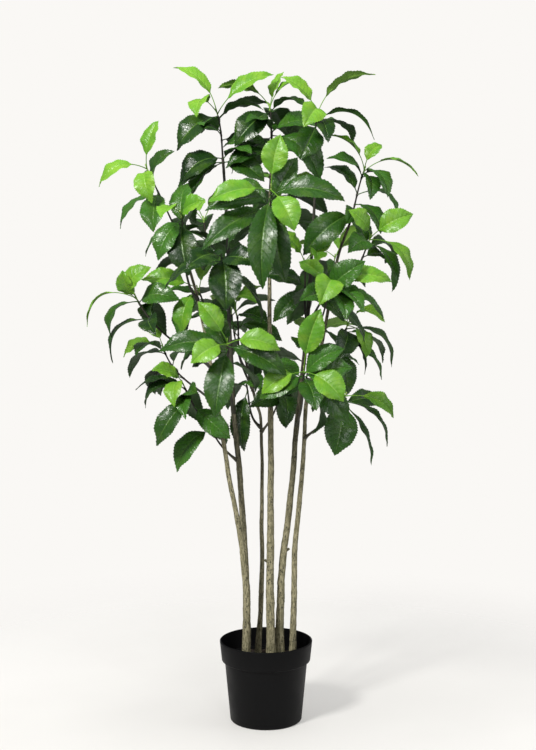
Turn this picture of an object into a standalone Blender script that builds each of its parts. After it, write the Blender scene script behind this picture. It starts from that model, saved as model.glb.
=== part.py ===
"""Potted avocado tree: six slender stems with leafy sprays, standing in a round nursery pot of soil.

Metres, +Z up. The origin is on the floor, under the middle of the pot.
"""
import math
import random

import bmesh
import bpy
from mathutils import Matrix, Vector
from mathutils.bvhtree import BVHTree

# Pot, read as radii and heights above the floor
POT_SIDES = 32
POT_HEIGHT = 0.187
RIM_RADIUS = 0.106
BAND_HEIGHT = 0.046
BODY_TOP_RADIUS = 0.0945
BASE_RADIUS = 0.0820
POT_WALL = 0.0024
BAND_TAPER = 0.0045
BAND_LEDGE = 0.003
LIP_ROUND = 0.001
BASE_CHAMFER = 0.003
FOOT_HEIGHT = 0.004
FOOT_WIDTH = 0.012
PAD_RADIUS = 0.022
DRAIN_COUNT = 4
DRAIN_SIDES = 6
DRAIN_RADIUS = 0.006
DRAIN_CIRCLE = 0.045

# Soil
GAP = 0.0003
SOIL_TOP = 0.138
SOIL_LUMP = 0.0035
SOIL_EDGE_DROP = 0.002
SOIL_RING = 0.78
STEM_DEPTH = 0.030
HOLE_CLEARANCE = 0.0005

# Wood
STEM_SIDES = 7
STEM_STEPS = 10
FLARE = 0.22
STEM_TAPER = 1.35
SNAG_LENGTH = 0.016
SNAG_RADII = (0.0032, 0.0026)
SNAG_RISE = 0.7
BRANCH_SIDES = 5
BRANCH_STEPS = 2
BRANCH_RADIUS = 0.0030
BRANCH_SHARE = 0.42
SOCKET_RADIUS = 0.0024
TWIG_SIDES = 3
TWIG_STEPS = 4
TWIG_RADIUS = 0.0021
TWIG_END_RADIUS = 0.0017
JOINT_GAP = 0.0006
SHOOT_LENGTH = 0.014
SHOOT_TIP_SHARE = 0.8
SHOOT_RADIUS = 0.0016

# The curve from a stem to a spray's tip. A spray that starts this close to its stem's top goes on from it
TOP_ZONE = 0.045
CURVE_PULL = 0.36
LEAVE_ALONG = 0.55
LEAVE_OUTWARD = 0.75
ARRIVE_OUTWARD = 0.40
ARRIVE_UP = 0.92
WALK_STEPS = 60

# Where leaves leave a twig, from its tip down
FIRST_LEAF = {"young": 0.0035, "mature": SHOOT_LENGTH + 0.0025}
ROOT_SPACING = 0.0028
ROOTS_APART = 0.0025

# Where leaves placed by rule leave a twig, in mm below its tip, and how far each turns on from the last
ALL_ROUND_LEVELS = (12, 20, 62, 70, 112, 120, 160)
FILL_LEVELS = (20, 58, 70, 108)
GOLDEN_ANGLE = 137.5
FAR_SIDE_SPREAD = 50
FILL_RISE = (-42, 18)
FILL_RISE_PER_MM = 0.12
FILL_OUTWARD = 0.25
FILL_ARCH = (0.12, 0.26)
WHORL = 3
WHORL_STRAY = 15
WHORL_RISE = (15, 45)
WHORL_ARCH = (0.10, 0.22)
SWEEP = 0.05

# What a leaf's upper face turns to, besides the sky: away from the plant's middle, and to the front
OUTWARD_SHARE = 0.6
FACING = 8

# Leaves: shares run from 0 at a blade's base to 1 at its tip
LEAF_THICKNESS = 0.0018
MIDRIB_SHARES = (0.0, 0.36, 0.72)
EDGE_SHARES = (0.14, 0.36, 0.61, 0.85)
BLADE_SKEW = 0.92
BLADE_FULLNESS = 0.82
TOOTH = 0.045
EDGE_WAVE = 0.0016
FOLD_DEGREES = 17
THICKEST = 1.1
THINNING = 0.35
STALK_POINTS = 7
STALK_SPREAD = 1.3
ROOT_SHARE = 0.55
ROOT_SPREAD = 0.9
ROOT_DROP = 0.6
STALK_SHARE = {"mature": 0.11, "young": 0.26}
STALK_RADIUS = {"mature": 0.0012, "young": 0.0010}
MATURE_LENGTH = (0.115, 0.160)
MATURE_WIDTH = (0.048, 0.064)
YOUNG_LENGTH = (0.095, 0.125)
YOUNG_WIDTH = (0.040, 0.050)

# How a leaf is bent clear of what is already there, in degrees
CLEARANCE = 0.0009
NEARLY_UPRIGHT = 0.2
TRY_STEP = 6
TRY_RINGS = 8
TRY_AROUND = 8
TRY_TWIST = 20
SHRINKS = (1.0, 0.85, 0.7)

MILLI = 0.001
SEED = 20


# Plan of the stems: points on each centre line from inside the soil to the top, and radii in mm
STEMS = {
    "left_outer": dict(foot=8.0, top=3.0, line=[
        (-0.0445, -0.030, STEM_DEPTH), (-0.0450, -0.030, 0.16), (-0.0440, -0.030, 0.28),
        (-0.051, -0.031, 0.38), (-0.062, -0.032, 0.46), (-0.081, -0.034, 0.56),
        (-0.092, -0.035, 0.64), (-0.119, -0.038, 0.80),
        (-0.150, -0.040, 0.97), (-0.176, -0.042, 1.06)]),
    "left_inner": dict(foot=9.4, top=3.0, line=[
        (-0.0450, 0.006, STEM_DEPTH), (-0.0450, 0.006, 0.16), (-0.0440, 0.006, 0.28), (-0.050, 0.006, 0.42),
        (-0.060, 0.008, 0.567), (-0.071, 0.012, 0.68), (-0.079, 0.017, 0.82), (-0.084, 0.022, 0.98),
        (-0.088, 0.030, 1.166), (-0.096, 0.038, 1.27)]),
    "back": dict(foot=6.6, top=2.8, line=[
        (-0.0190, 0.042, STEM_DEPTH), (-0.0180, 0.044, 0.16), (-0.0110, 0.050, 0.28), (-0.010, 0.055, 0.45),
        (-0.0110, 0.060, 0.665), (-0.024, 0.068, 0.73), (-0.042, 0.080, 0.80), (-0.055, 0.090, 0.86)]),
    "centre": dict(foot=10.4, top=3.0, line=[
        (0.0105, -0.036, STEM_DEPTH), (0.0105, -0.036, 0.16), (0.0095, -0.034, 0.30), (0.0105, -0.030, 0.46),
        (0.0100, -0.022, 0.62), (0.0095, -0.012, 0.80), (0.0080, 0.004, 0.98), (0.0090, 0.022, 1.16),
        (0.0120, 0.038, 1.29)]),
    "right_inner": dict(foot=9.6, top=3.0, line=[
        (0.0320, -0.014, STEM_DEPTH), (0.0320, -0.014, 0.16), (0.0325, -0.012, 0.28), (0.0370, -0.009, 0.37),
        (0.0510, -0.002, 0.478), (0.0600, 0.003, 0.567), (0.0680, 0.008, 0.66), (0.0790, 0.013, 0.765),
        (0.0900, 0.018, 0.87), (0.0980, 0.021, 0.98), (0.1060, 0.024, 1.13), (0.1120, 0.024, 1.26)]),
    "right": dict(foot=7.6, top=3.0, line=[
        (0.0605, -0.012, STEM_DEPTH), (0.0605, -0.012, 0.16), (0.0630, -0.012, 0.28), (0.0670, -0.011, 0.42),
        (0.0760, -0.009, 0.51), (0.0845, -0.007, 0.61), (0.0915, -0.004, 0.74), (0.1080, 0.002, 0.80),
        (0.1280, 0.008, 0.88), (0.1440, 0.014, 0.97), (0.1620, 0.024, 1.06), (0.1860, 0.034, 1.13)]),
}

# Short ends of cut side shoots: stem, height, direction as degrees from +X
SNAGS = [("centre", 0.372, 190), ("right_inner", 0.392, 5)]


def spray(name, stem, at, tip, young=(), mature=(), fill=0, away=90, all_round=False):
    """One leafy spray: the stem and height that it leaves, its tip, and its leaves.

    A leaf is (mm below the tip, clock, lean, length mm, width mm, arch %, facing). Clock is its direction
    seen from the front, 0 at +X and 90 at +Z, lean is how far it points out of that plane to the front,
    and facing, in tenths and 8 if left out, is how far its upper face turns to the front.
    fill adds mature leaves by rule, about the direction away, in degrees from +X, or all round.
    """
    return dict(name=name, stem=stem, at=at, tip=Vector(tip), young=list(young), mature=list(mature),
                fill=fill, away=away, all_round=all_round)


SPRAYS = [
    spray("top_left", "left_inner", 1.25, (-0.112, 0.05, 1.390), fill=3, away=55,
          young=[(0, 135, -5, 140, 42, 22, 4), (0, -160, 60, 90, 50, 38), (0, 35, 5, 155, 50, 16, 12)],
          mature=[(10, -140, 15, 125, 66, 25, 16), (10, 10, 10, 105, 55, 20, 0),
                  (50, 175, 65, 105, 42, 14), (110, -150, 15, 110, 68, 24, 16),
                  (110, 10, 50, 105, 45, 16, 0), (150, -130, 10, 120, 50, 16),
                  (165, -155, 15, 120, 54, 20, 12), (170, -25, 20, 110, 54, 20, 12)]),
    spray("top_middle", "centre", 1.27, (0.007, 0.05, 1.401), fill=3,
          young=[(0, 160, -5, 125, 38, 22, 0), (0, 70, -20, 95, 40, 6, 4), (0, 40, 5, 100, 45, 18)],
          mature=[(10, -135, 15, 120, 66, 20, 16), (10, 5, 40, 105, 48, 22),
                  (60, 165, 55, 105, 48, 16), (60, -5, -5, 125, 64, 20, 12),
                  (70, -45, 10, 155, 70, 25, 16), (80, -140, 0, 120, 58, 18, 10),
                  (95, -160, 15, 110, 54, 22, 12), (120, -155, 10, 115, 52, 18, 12),
                  (100, -20, 20, 110, 52, 18, 10)]),
    spray("top_right", "right_inner", 1.24, (0.114, 0.02, 1.383), fill=2,
          young=[(0, 135, 0, 115, 48, 14, 10), (0, -135, 60, 90, 56, 34), (0, 35, 5, 160, 42, 20, 0)],
          mature=[(10, -20, 10, 140, 36, 28, 0), (15, -55, 60, 105, 50, 22, 12),
                  (30, -115, 35, 105, 60, 18)]),
    spray("front_high", "centre", 1.06, (0.011, -0.26, 1.215), fill=2,
          young=[(0, 80, 5, 110, 55, 5), (0, -170, 15, 135, 50, 16), (0, -60, 30, 110, 58, 18)],
          mature=[(10, -5, 10, 155, 56, 18), (20, -95, 15, 200, 62, 12, 16), (25, -80, 0, 180, 56, 12),
                  (30, -170, 10, 140, 50, 14), (40, 60, -5, 110, 48, 10), (55, 145, -20, 105, 50, 16),
                  (60, -150, 20, 175, 54, 16)]),
    spray("right_high", "right", 1.1, (0.223, 0.05, 1.261), fill=0,
          young=[(0, 135, 0, 110, 45, 18, 4), (0, 55, -15, 75, 34, 30, 0), (0, -5, 10, 125, 46, 26, 3)],
          mature=[(10, -45, 45, 105, 50, 30), (10, 155, 30, 105, 46, 20, 7),
                  (20, -75, 60, 105, 44, 24), (60, 140, -25, 105, 46, 18, 9),
                  (60, -25, 15, 105, 46, 28, 4), (85, -50, 35, 105, 52, 22),
                  (105, -140, 10, 150, 66, 25, 16), (110, -135, 75, 105, 50, 20)]),
    spray("right_outer", "right", 0.95, (0.233, -0.02, 1.110), fill=2, away=115,
          young=[(0, 30, 10, 110, 54, 20, 16), (0, 140, 20, 90, 50, 16, 14),
                 (0, -45, 15, 130, 48, 28, 6)],
          mature=[(15, -65, 15, 125, 44, 26, 5), (15, -160, 60, 105, 52, 20),
                  (25, 140, -50, 105, 50, 12), (50, -15, -55, 105, 45, 20, 4)]),
    spray("front_right", "right_inner", 0.85, (0.133, -0.2, 1.014), fill=2,
          young=[(0, -120, 60, 90, 60, 38), (0, 5, 5, 135, 46, 22, 6), (0, 140, -25, 90, 42, 12)],
          mature=[(10, 40, 25, 105, 58, 20, 12), (25, -55, 55, 105, 48, 22, 2),
                  (25, -40, 35, 105, 46, 26, 2), (40, -20, 5, 130, 36, 28, 0),
                  (45, 175, 55, 105, 54, 20)]),
    spray("inner_right", "right_inner", 0.92, (0.085, 0.0, 1.056), fill=3,
          young=[(0, 110, 15, 90, 50, 10), (0, 55, -35, 90, 48, 14), (0, 15, 75, 90, 44, 30)],
          mature=[(65, -135, 15, 105, 42, 12, 12), (60, 165, 15, 105, 48, 16, 12),
                  (75, -35, 5, 110, 50, 18, 12)]),
    spray("left_high", "left_outer", 1.02, (-0.262, -0.05, 1.262), fill=0,
          young=[(0, 75, 5, 105, 46, 14), (0, -160, 10, 115, 44, 30), (0, -80, 40, 95, 50, 34)],
          mature=[(58, 85, 30, 115, 56, 22), (60, -95, 35, 105, 60, 14, 16),
                  (62, -140, 10, 115, 44, 22, 3)]),
    spray("left_upper", "left_outer", 0.97, (-0.185, -0.1, 1.162), fill=2, away=70,
          young=[(0, -165, 65, 90, 42, 20), (0, 30, 45, 90, 48, 14, 14)],
          mature=[(10, -120, 15, 105, 54, 20, 14), (15, -90, 30, 125, 66, 14, 16),
                  (20, -70, -30, 105, 50, 14), (25, -140, -10, 110, 34, 16, 0),
                  (30, 85, -25, 105, 52, 14)]),
    spray("front_left", "left_inner", 0.92, (-0.092, -0.25, 1.088), fill=3,
          mature=[(5, -85, 25, 125, 72, 12, 16), (5, 175, 55, 105, 50, 18), (25, -5, 35, 105, 52, 18)]),
    spray("left_middle", "left_outer", 0.82, (-0.293, 0.0, 0.978), fill=1, away=70,
          young=[(0, 60, 30, 90, 52, 34, 14), (0, -150, 10, 130, 30, 34, 0),
                 (0, 115, 30, 90, 44, 12, 12)],
          mature=[(10, -125, 15, 105, 50, 32, 3), (10, 5, 25, 105, 54, 24, 14),
                  (62, -130, 5, 130, 40, 32, 2), (62, 70, -65, 105, 40, 14, 2),
                  (70, -55, 75, 105, 48, 20)]),
    spray("inner_left", "left_inner", 0.86, (-0.155, 0.02, 0.995), fill=3,
          young=[(0, 170, 10, 130, 52, 16, 12), (0, -110, 25, 115, 50, 28, 14), (0, 70, -25, 90, 44, 12)],
          mature=[(10, -145, 75, 105, 50, 20), (30, -150, 40, 105, 50, 24)]),
    spray("inner_middle", "back", 0.8, (-0.071, 0.1, 0.940), fill=3,
          young=[(0, 85, 10, 95, 42, 8), (0, 20, 45, 90, 45, 40)],
          mature=[(15, -10, 45, 105, 50, 16), (35, -20, 5, 110, 50, 18, 12), (40, 165, 5, 105, 50, 18, 12)]),
    spray("front_low_left", "left_inner", 0.71, (-0.080, -0.25, 0.898), fill=2,
          young=[(0, 125, 5, 105, 46, 16, 4), (0, -155, 30, 95, 54, 22, 12), (0, -5, 15, 115, 50, 24)],
          mature=[(10, -25, 10, 140, 56, 20), (15, -100, 20, 150, 62, 12, 16),
                  (20, 180, 5, 145, 52, 18), (30, -155, -35, 105, 48, 14), (30, 120, -25, 105, 50, 12)]),
    spray("left_low", "left_outer", 0.66, (-0.186, -0.05, 0.788), fill=1,
          young=[(0, -110, 60, 90, 44, 32), (0, 150, 30, 90, 44, 16)],
          mature=[(10, -165, -10, 105, 44, 34, 4), (20, 180, -5, 115, 40, 24, 0),
                  (40, -125, 10, 130, 54, 20, 16), (30, -90, 65, 105, 38, 18),
                  (60, -40, 15, 110, 52, 16), (45, 20, 70, 105, 46, 16)]),
    spray("left_back", "left_outer", 0.73, (-0.240, 0.1, 0.857), fill=4,
          young=[(0, -165, 5, 95, 46, 24), (0, 115, -30, 90, 42, 12)],
          mature=[(10, 180, 55, 105, 50, 24)]),
    spray("front_low_right", "right_inner", 0.68, (0.079, -0.25, 0.840), fill=2,
          young=[(0, 75, 10, 135, 54, 5), (0, -35, 25, 110, 60, 18, 14), (0, -160, 20, 100, 48, 18)],
          mature=[(10, -160, 20, 105, 52, 18), (10, 35, 10, 105, 50, 16), (15, 5, 20, 105, 62, 16, 16),
                  (25, -45, 10, 135, 60, 14, 16), (20, -45, 55, 105, 54, 14, 16)]),
    spray("right_middle", "right", 0.78, (0.186, 0.0, 0.917), fill=2,
          young=[(0, 5, 25, 90, 42, 34, 6), (0, -60, 25, 90, 45, 30), (0, 100, -30, 90, 42, 12)],
          mature=[(10, -40, 5, 135, 44, 30, 3), (15, -100, 55, 105, 54, 20, 14),
                  (20, -65, -5, 110, 36, 14, 0), (40, -45, -10, 135, 42, 16, 4),
                  (60, -80, 5, 110, 50, 14, 14), (75, -105, 10, 110, 50, 14, 14)]),
    spray("right_low", "right", 0.655, (0.175, -0.1, 0.767), fill=0,
          young=[(0, -25, -5, 120, 44, 32)],
          mature=[(5, -100, 20, 125, 74, 12, 16), (10, -45, 5, 140, 32, 24, 0),
                  (20, -65, 0, 155, 32, 12, 0), (20, 0, -35, 105, 45, 18)]),
    spray("low_middle", "back", 0.67, (-0.050, 0.05, 0.785), fill=1,
          mature=[(30, -95, 20, 140, 50, 14, 16), (15, 55, 45, 105, 46, 14), (60, -5, 20, 105, 48, 16, 12)]),
    spray("low_left", "left_inner", 0.6, (-0.131, 0.0, 0.689), fill=0,
          mature=[(5, -130, 15, 125, 54, 24, 14), (20, -55, -60, 105, 50, 18)]),
    spray("low_right", "back", 0.66, (0.036, 0.0, 0.764), fill=1,
          mature=[(5, -70, 65, 105, 48, 22), (10, -170, 50, 105, 52, 20, 14), (5, 100, 10, 105, 48, 14, 12)]),
    spray("back_high", "centre", 1.03, (0.035, 0.265, 1.215), fill=7, all_round=True),
    spray("back_left", "left_inner", 0.98, (-0.150, 0.245, 1.150), fill=7, all_round=True),
    spray("back_right", "right_inner", 0.90, (0.165, 0.240, 1.060), fill=6, all_round=True),
    spray("back_middle", "back", 0.76, (-0.085, 0.270, 0.930), fill=6, all_round=True),
    spray("back_low", "right_inner", 0.70, (0.105, 0.245, 0.850), fill=6, all_round=True),
]


# Shapes in general


def clear_scene():
    for thing in list(bpy.data.objects):
        bpy.data.objects.remove(thing)


def material(name, colour, roughness):
    made = bpy.data.materials.new(name)
    made.use_nodes = True
    shader = made.node_tree.nodes["Principled BSDF"]
    shader.inputs["Base Color"].default_value = (*colour, 1.0)
    shader.inputs["Roughness"].default_value = roughness
    shader.inputs["Metallic"].default_value = 0.0
    made.diffuse_color = (*colour, 1.0)
    return made


def add_object(name, points, faces, finish=None):
    """A mesh object with all its faces turned outward."""
    mesh = bpy.data.meshes.new(name)
    mesh.from_pydata([tuple(p) for p in points], [], faces)
    work = bmesh.new()
    work.from_mesh(mesh)
    bmesh.ops.recalc_face_normals(work, faces=work.faces)
    work.to_mesh(mesh)
    work.free()
    made = bpy.data.objects.new(name, mesh)
    bpy.context.scene.collection.objects.link(made)
    if finish:
        mesh.materials.append(finish)
    return made


def evaluated_mesh(thing):
    bpy.context.view_layer.update()
    graph = bpy.context.evaluated_depsgraph_get()
    return bpy.data.meshes.new_from_object(thing.evaluated_get(graph))


def apply_modifiers(thing):
    mesh = evaluated_mesh(thing)
    thing.modifiers.clear()
    thing.data = mesh


def keep_largest_body(thing):
    """Drops loose scraps and the walls of sealed hollows, which leaves one solid body."""
    work = bmesh.new()
    work.from_mesh(thing.data)
    unseen = set(work.faces)
    bodies = []
    while unseen:
        front = [unseen.pop()]
        body = []
        while front:
            face = front.pop()
            body.append(face)
            for edge in face.edges:
                for other in edge.link_faces:
                    if other in unseen:
                        unseen.discard(other)
                        front.append(other)
        bodies.append(body)
    largest = max(bodies, key=len)
    doomed = [face for body in bodies if body is not largest for face in body]
    bmesh.ops.delete(work, geom=doomed, context="FACES")
    work.to_mesh(thing.data)
    work.free()


def fuse(thing, others):
    """Joins the other objects to thing in one Boolean union, and removes them."""
    if not others:
        return
    group = bpy.data.collections.new(thing.name + "_parts")
    bpy.context.scene.collection.children.link(group)
    for other in others:
        group.objects.link(other)
        bpy.context.scene.collection.objects.unlink(other)
    union = thing.modifiers.new("union", "BOOLEAN")
    union.operation = "UNION"
    union.operand_type = "COLLECTION"
    union.collection = group
    union.solver = "MANIFOLD"
    apply_modifiers(thing)
    for other in others:
        bpy.data.objects.remove(other)
    bpy.data.collections.remove(group)
    keep_largest_body(thing)


def cut(thing, cutters):
    """Takes the cutters out of thing, and removes them."""
    for cutter in cutters:
        hole = thing.modifiers.new("hole", "BOOLEAN")
        hole.operation = "DIFFERENCE"
        hole.solver = "MANIFOLD"
        hole.object = cutter
    apply_modifiers(thing)
    for cutter in cutters:
        bpy.data.objects.remove(cutter)


def smooth_point(line, share):
    """Point at a share of the way along a smooth curve through the line's points."""
    place = share * (len(line) - 1)
    index = min(int(place), len(line) - 2)
    t = place - index
    before = line[max(index - 1, 0)]
    start = line[index]
    end = line[index + 1]
    after = line[min(index + 2, len(line) - 1)]
    return 0.5 * (2 * start + (end - before) * t + (2 * before - 5 * start + 4 * end - after) * t * t
                  + (3 * start - before - 3 * end + after) * t * t * t)


def tube_mesh(line, radii, sides):
    """Points and faces of a closed tube along a line, with flat ends."""
    tangents = []
    for index in range(len(line)):
        ahead = line[min(index + 1, len(line) - 1)]
        behind = line[max(index - 1, 0)]
        tangents.append((ahead - behind).normalized())
    across = tangents[0].orthogonal().normalized()
    points = []
    for centre, tangent, radius in zip(line, tangents, radii):
        across = (across - tangent * across.dot(tangent)).normalized()
        other = tangent.cross(across)
        for side in range(sides):
            angle = 2 * math.pi * side / sides
            points.append(centre + radius * (math.cos(angle) * across + math.sin(angle) * other))
    faces = []
    for ring in range(len(line) - 1):
        for side in range(sides):
            low = ring * sides + side
            low_next = ring * sides + (side + 1) % sides
            faces.append((low, low_next, low_next + sides, low + sides))
    last = (len(line) - 1) * sides
    faces.append(tuple(range(sides))[::-1])
    faces.append(tuple(range(last, last + sides)))
    return points, faces


def turned_mesh(profile, sides):
    """Points and faces of a solid turned about Z. The profile starts and ends on the axis."""
    points = [Vector((0, 0, profile[0][1])), Vector((0, 0, profile[-1][1]))]
    rings = profile[1:-1]
    for radius, height in rings:
        for side in range(sides):
            angle = 2 * math.pi * side / sides
            points.append(Vector((radius * math.cos(angle), radius * math.sin(angle), height)))
    faces = []
    last = 2 + (len(rings) - 1) * sides
    for side in range(sides):
        after = (side + 1) % sides
        faces.append((0, 2 + side, 2 + after))
        faces.append((1, last + side, last + after))
        for ring in range(len(rings) - 1):
            low = 2 + ring * sides
            faces.append((low + side, low + after, low + sides + after, low + sides + side))
    return points, faces


# Pot and soil


def inner_radius(height):
    """Radius of the pot's inside under its band."""
    share = height / (POT_HEIGHT - BAND_HEIGHT)
    return BASE_RADIUS + (BODY_TOP_RADIUS - BASE_RADIUS) * share - POT_WALL


def pot_profile():
    """Radius and height round the pot's wall: under it, up the outside, over the lip and down the inside."""
    band = POT_HEIGHT - BAND_HEIGHT
    band_radius = RIM_RADIUS - BAND_TAPER
    floor_top = FOOT_HEIGHT + POT_WALL
    foot_inside = BASE_RADIUS - FOOT_WIDTH
    return [
        (0, 0),
        (PAD_RADIUS, 0),
        (PAD_RADIUS + BASE_CHAMFER, FOOT_HEIGHT),
        (foot_inside - BASE_CHAMFER, FOOT_HEIGHT),
        (foot_inside, 0),
        (BASE_RADIUS - BASE_CHAMFER, 0),
        (BASE_RADIUS, BASE_CHAMFER),
        (BODY_TOP_RADIUS, band - BAND_LEDGE),
        (band_radius - LIP_ROUND, band),
        (band_radius, band + LIP_ROUND),
        (RIM_RADIUS, POT_HEIGHT - LIP_ROUND),
        (RIM_RADIUS - LIP_ROUND, POT_HEIGHT),
        (RIM_RADIUS - POT_WALL - LIP_ROUND, POT_HEIGHT),
        (band_radius - POT_WALL, band + BAND_LEDGE),
        (inner_radius(band), band),
        (inner_radius(floor_top), floor_top),
        (0, floor_top),
    ]


def make_pot(finish):
    points, faces = turned_mesh(pot_profile(), POT_SIDES)
    pot = add_object("pot", points, faces, finish)
    drains = []
    for index in range(DRAIN_COUNT):
        angle = 2 * math.pi * (index + 0.5) / DRAIN_COUNT
        middle = Vector((DRAIN_CIRCLE * math.cos(angle), DRAIN_CIRCLE * math.sin(angle), 0))
        line = [middle, middle + Vector((0, 0, 2 * FOOT_HEIGHT + POT_WALL))]
        drain_points, drain_faces = tube_mesh(line, [DRAIN_RADIUS] * 2, DRAIN_SIDES)
        drains.append(add_object("drain", drain_points, drain_faces))
    cut(pot, drains)
    return pot


def make_soil(finish):
    rng = random.Random(SEED)
    bottom = FOOT_HEIGHT + POT_WALL + GAP
    edge = inner_radius(SOIL_TOP) - 2 * GAP
    profile = [(0, bottom), (inner_radius(bottom) - 2 * GAP, bottom), (edge, SOIL_TOP - SOIL_EDGE_DROP)]
    profile += [(edge * SOIL_RING, SOIL_TOP), (0, SOIL_TOP)]
    points, faces = turned_mesh(profile, POT_SIDES)
    first_top = 2 + 2 * POT_SIDES
    for index in range(first_top, len(points)):
        points[index].z += rng.uniform(-1, 1) * SOIL_LUMP
    soil = add_object("soil", points, faces, finish)
    cutters = []
    for stem in STEMS.values():
        line, radii = stem_line(stem)
        low = line[0] - Vector((0, 0, GAP))
        wide = [radii[0] + HOLE_CLEARANCE] * 2
        hole_points, hole_faces = tube_mesh([low, line[1]], wide, STEM_SIDES)
        cutters.append(add_object("hole", hole_points, hole_faces))
    cut(soil, cutters)
    return soil


# Stems, branches and twigs


def stem_line(stem):
    """Centre line and radii of a stem, which is thickest at its flared foot."""
    guide = [Vector(p) for p in stem["line"]]
    line = [guide[0], guide[1]]
    line += [smooth_point(guide[1:], (step + 1) / STEM_STEPS) for step in range(STEM_STEPS)]
    foot = stem["foot"] * MILLI
    top = stem["top"] * MILLI
    height = line[-1].z - line[1].z
    radii = []
    for point in line:
        share = max(0.0, (point.z - line[1].z) / height)
        radii.append(top + (foot - top) * (1 - share) ** STEM_TAPER)
    flare = 1 + FLARE
    return line, [radii[0] * flare, radii[1] * flare] + radii[2:]


def at_height(line, height):
    """Point and direction of a line where it reaches a height."""
    for low, high in zip(line, line[1:]):
        if high.z >= height:
            share = (height - low.z) / (high.z - low.z)
            return low.lerp(high, share), (high - low).normalized()
    return line[-1], (line[-1] - line[-2]).normalized()


def branch_curve(plan, stem_points):
    """Smooth guide from the stem to the spray's tip, rising at first and turning up at the end."""
    top = stem_points[-1].z
    at_top = plan["at"] >= top - TOP_ZONE
    start, along = at_height(stem_points, top if at_top else plan["at"])
    tip = plan["tip"]
    reach = (tip - start).length
    outward = Vector((tip.x - start.x, tip.y - start.y, 0)).normalized()
    leave = along if at_top else (LEAVE_ALONG * along + LEAVE_OUTWARD * outward).normalized()
    arrive = (ARRIVE_OUTWARD * outward + ARRIVE_UP * Vector((0, 0, 1))).normalized()
    first = start + CURVE_PULL * reach * leave
    second = tip - CURVE_PULL * reach * arrive
    return start, first, second, tip, at_top


def bezier(curve, share):
    start, first, second, tip = curve[:4]
    rest = 1 - share
    return (rest ** 3 * start + 3 * rest * rest * share * first
            + 3 * rest * share * share * second + share ** 3 * tip)


def below_tip(curve, distance):
    """Point on the curve at a distance before its end."""
    walked = 0.0
    last = bezier(curve, 1.0)
    for step in range(1, WALK_STEPS):
        point = bezier(curve, 1 - step / WALK_STEPS)
        walked += (point - last).length
        last = point
        if walked >= distance:
            break
    return last


def twig_line(curve, at_top):
    """Centre line and radii of the spray's own twig, from its socket to just under its young shoot."""
    start = 0.0 if at_top else BRANCH_SHARE
    length = (curve[3] - curve[0]).length
    end = 1 - SHOOT_LENGTH / length
    line = [bezier(curve, start + (end - start) * step / TWIG_STEPS) for step in range(TWIG_STEPS + 1)]
    line[0] = line[0] + (line[1] - line[0]).normalized() * JOINT_GAP
    radii = [TWIG_RADIUS + (TWIG_END_RADIUS - TWIG_RADIUS) * step / TWIG_STEPS
             for step in range(TWIG_STEPS + 1)]
    return line, radii


def shoot_line(curve):
    """The pale end of the twig, which carries the young leaves."""
    length = (curve[3] - curve[0]).length
    low = bezier(curve, 1 - SHOOT_LENGTH / length)
    start = low + (curve[3] - low).normalized() * GAP
    return [start, curve[3]], [SHOOT_RADIUS, SHOOT_TIP_SHARE * SHOOT_RADIUS]


def branch_line(curve):
    steps = range(BRANCH_STEPS + 1)
    line = [bezier(curve, BRANCH_SHARE * step / BRANCH_STEPS) for step in steps]
    radii = [BRANCH_RADIUS + (SOCKET_RADIUS - BRANCH_RADIUS) * step / BRANCH_STEPS for step in steps]
    return line, radii


# Leaves


def aim(clock, lean):
    clock = math.radians(clock)
    lean = math.radians(lean)
    return Vector((math.cos(clock) * math.cos(lean), -math.sin(lean), math.sin(clock) * math.cos(lean)))


def leaf_pose(kind, root, heading, length, width, arch, sweep, sky):
    """Where a leaf lies: its heading, the way its upper face looks, and its size."""
    up = (sky - heading * sky.dot(heading)).normalized()
    return dict(kind=kind, root=root, heading=heading, up=up, side=heading.cross(up), length=length,
                width=width, arch=arch, sweep=sweep)


def midrib(pose, share):
    """Point, side and face direction on a leaf's midrib, from its root to its tip."""
    bow = 4 * share * (1 - share)
    slope = 4 * (1 - 2 * share)
    bend = pose["arch"] * pose["up"] + pose["sweep"] * pose["side"]
    point = pose["root"] + pose["length"] * (share * pose["heading"] + bow * bend)
    tangent = (pose["heading"] + slope * bend).normalized()
    side = tangent.cross(pose["up"]).normalized()
    return point, side, side.cross(tangent)


def blade_half_width(share):
    """Half width of a blade over its widest, along its length."""
    return math.sin(math.pi * share ** BLADE_SKEW) ** BLADE_FULLNESS


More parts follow.
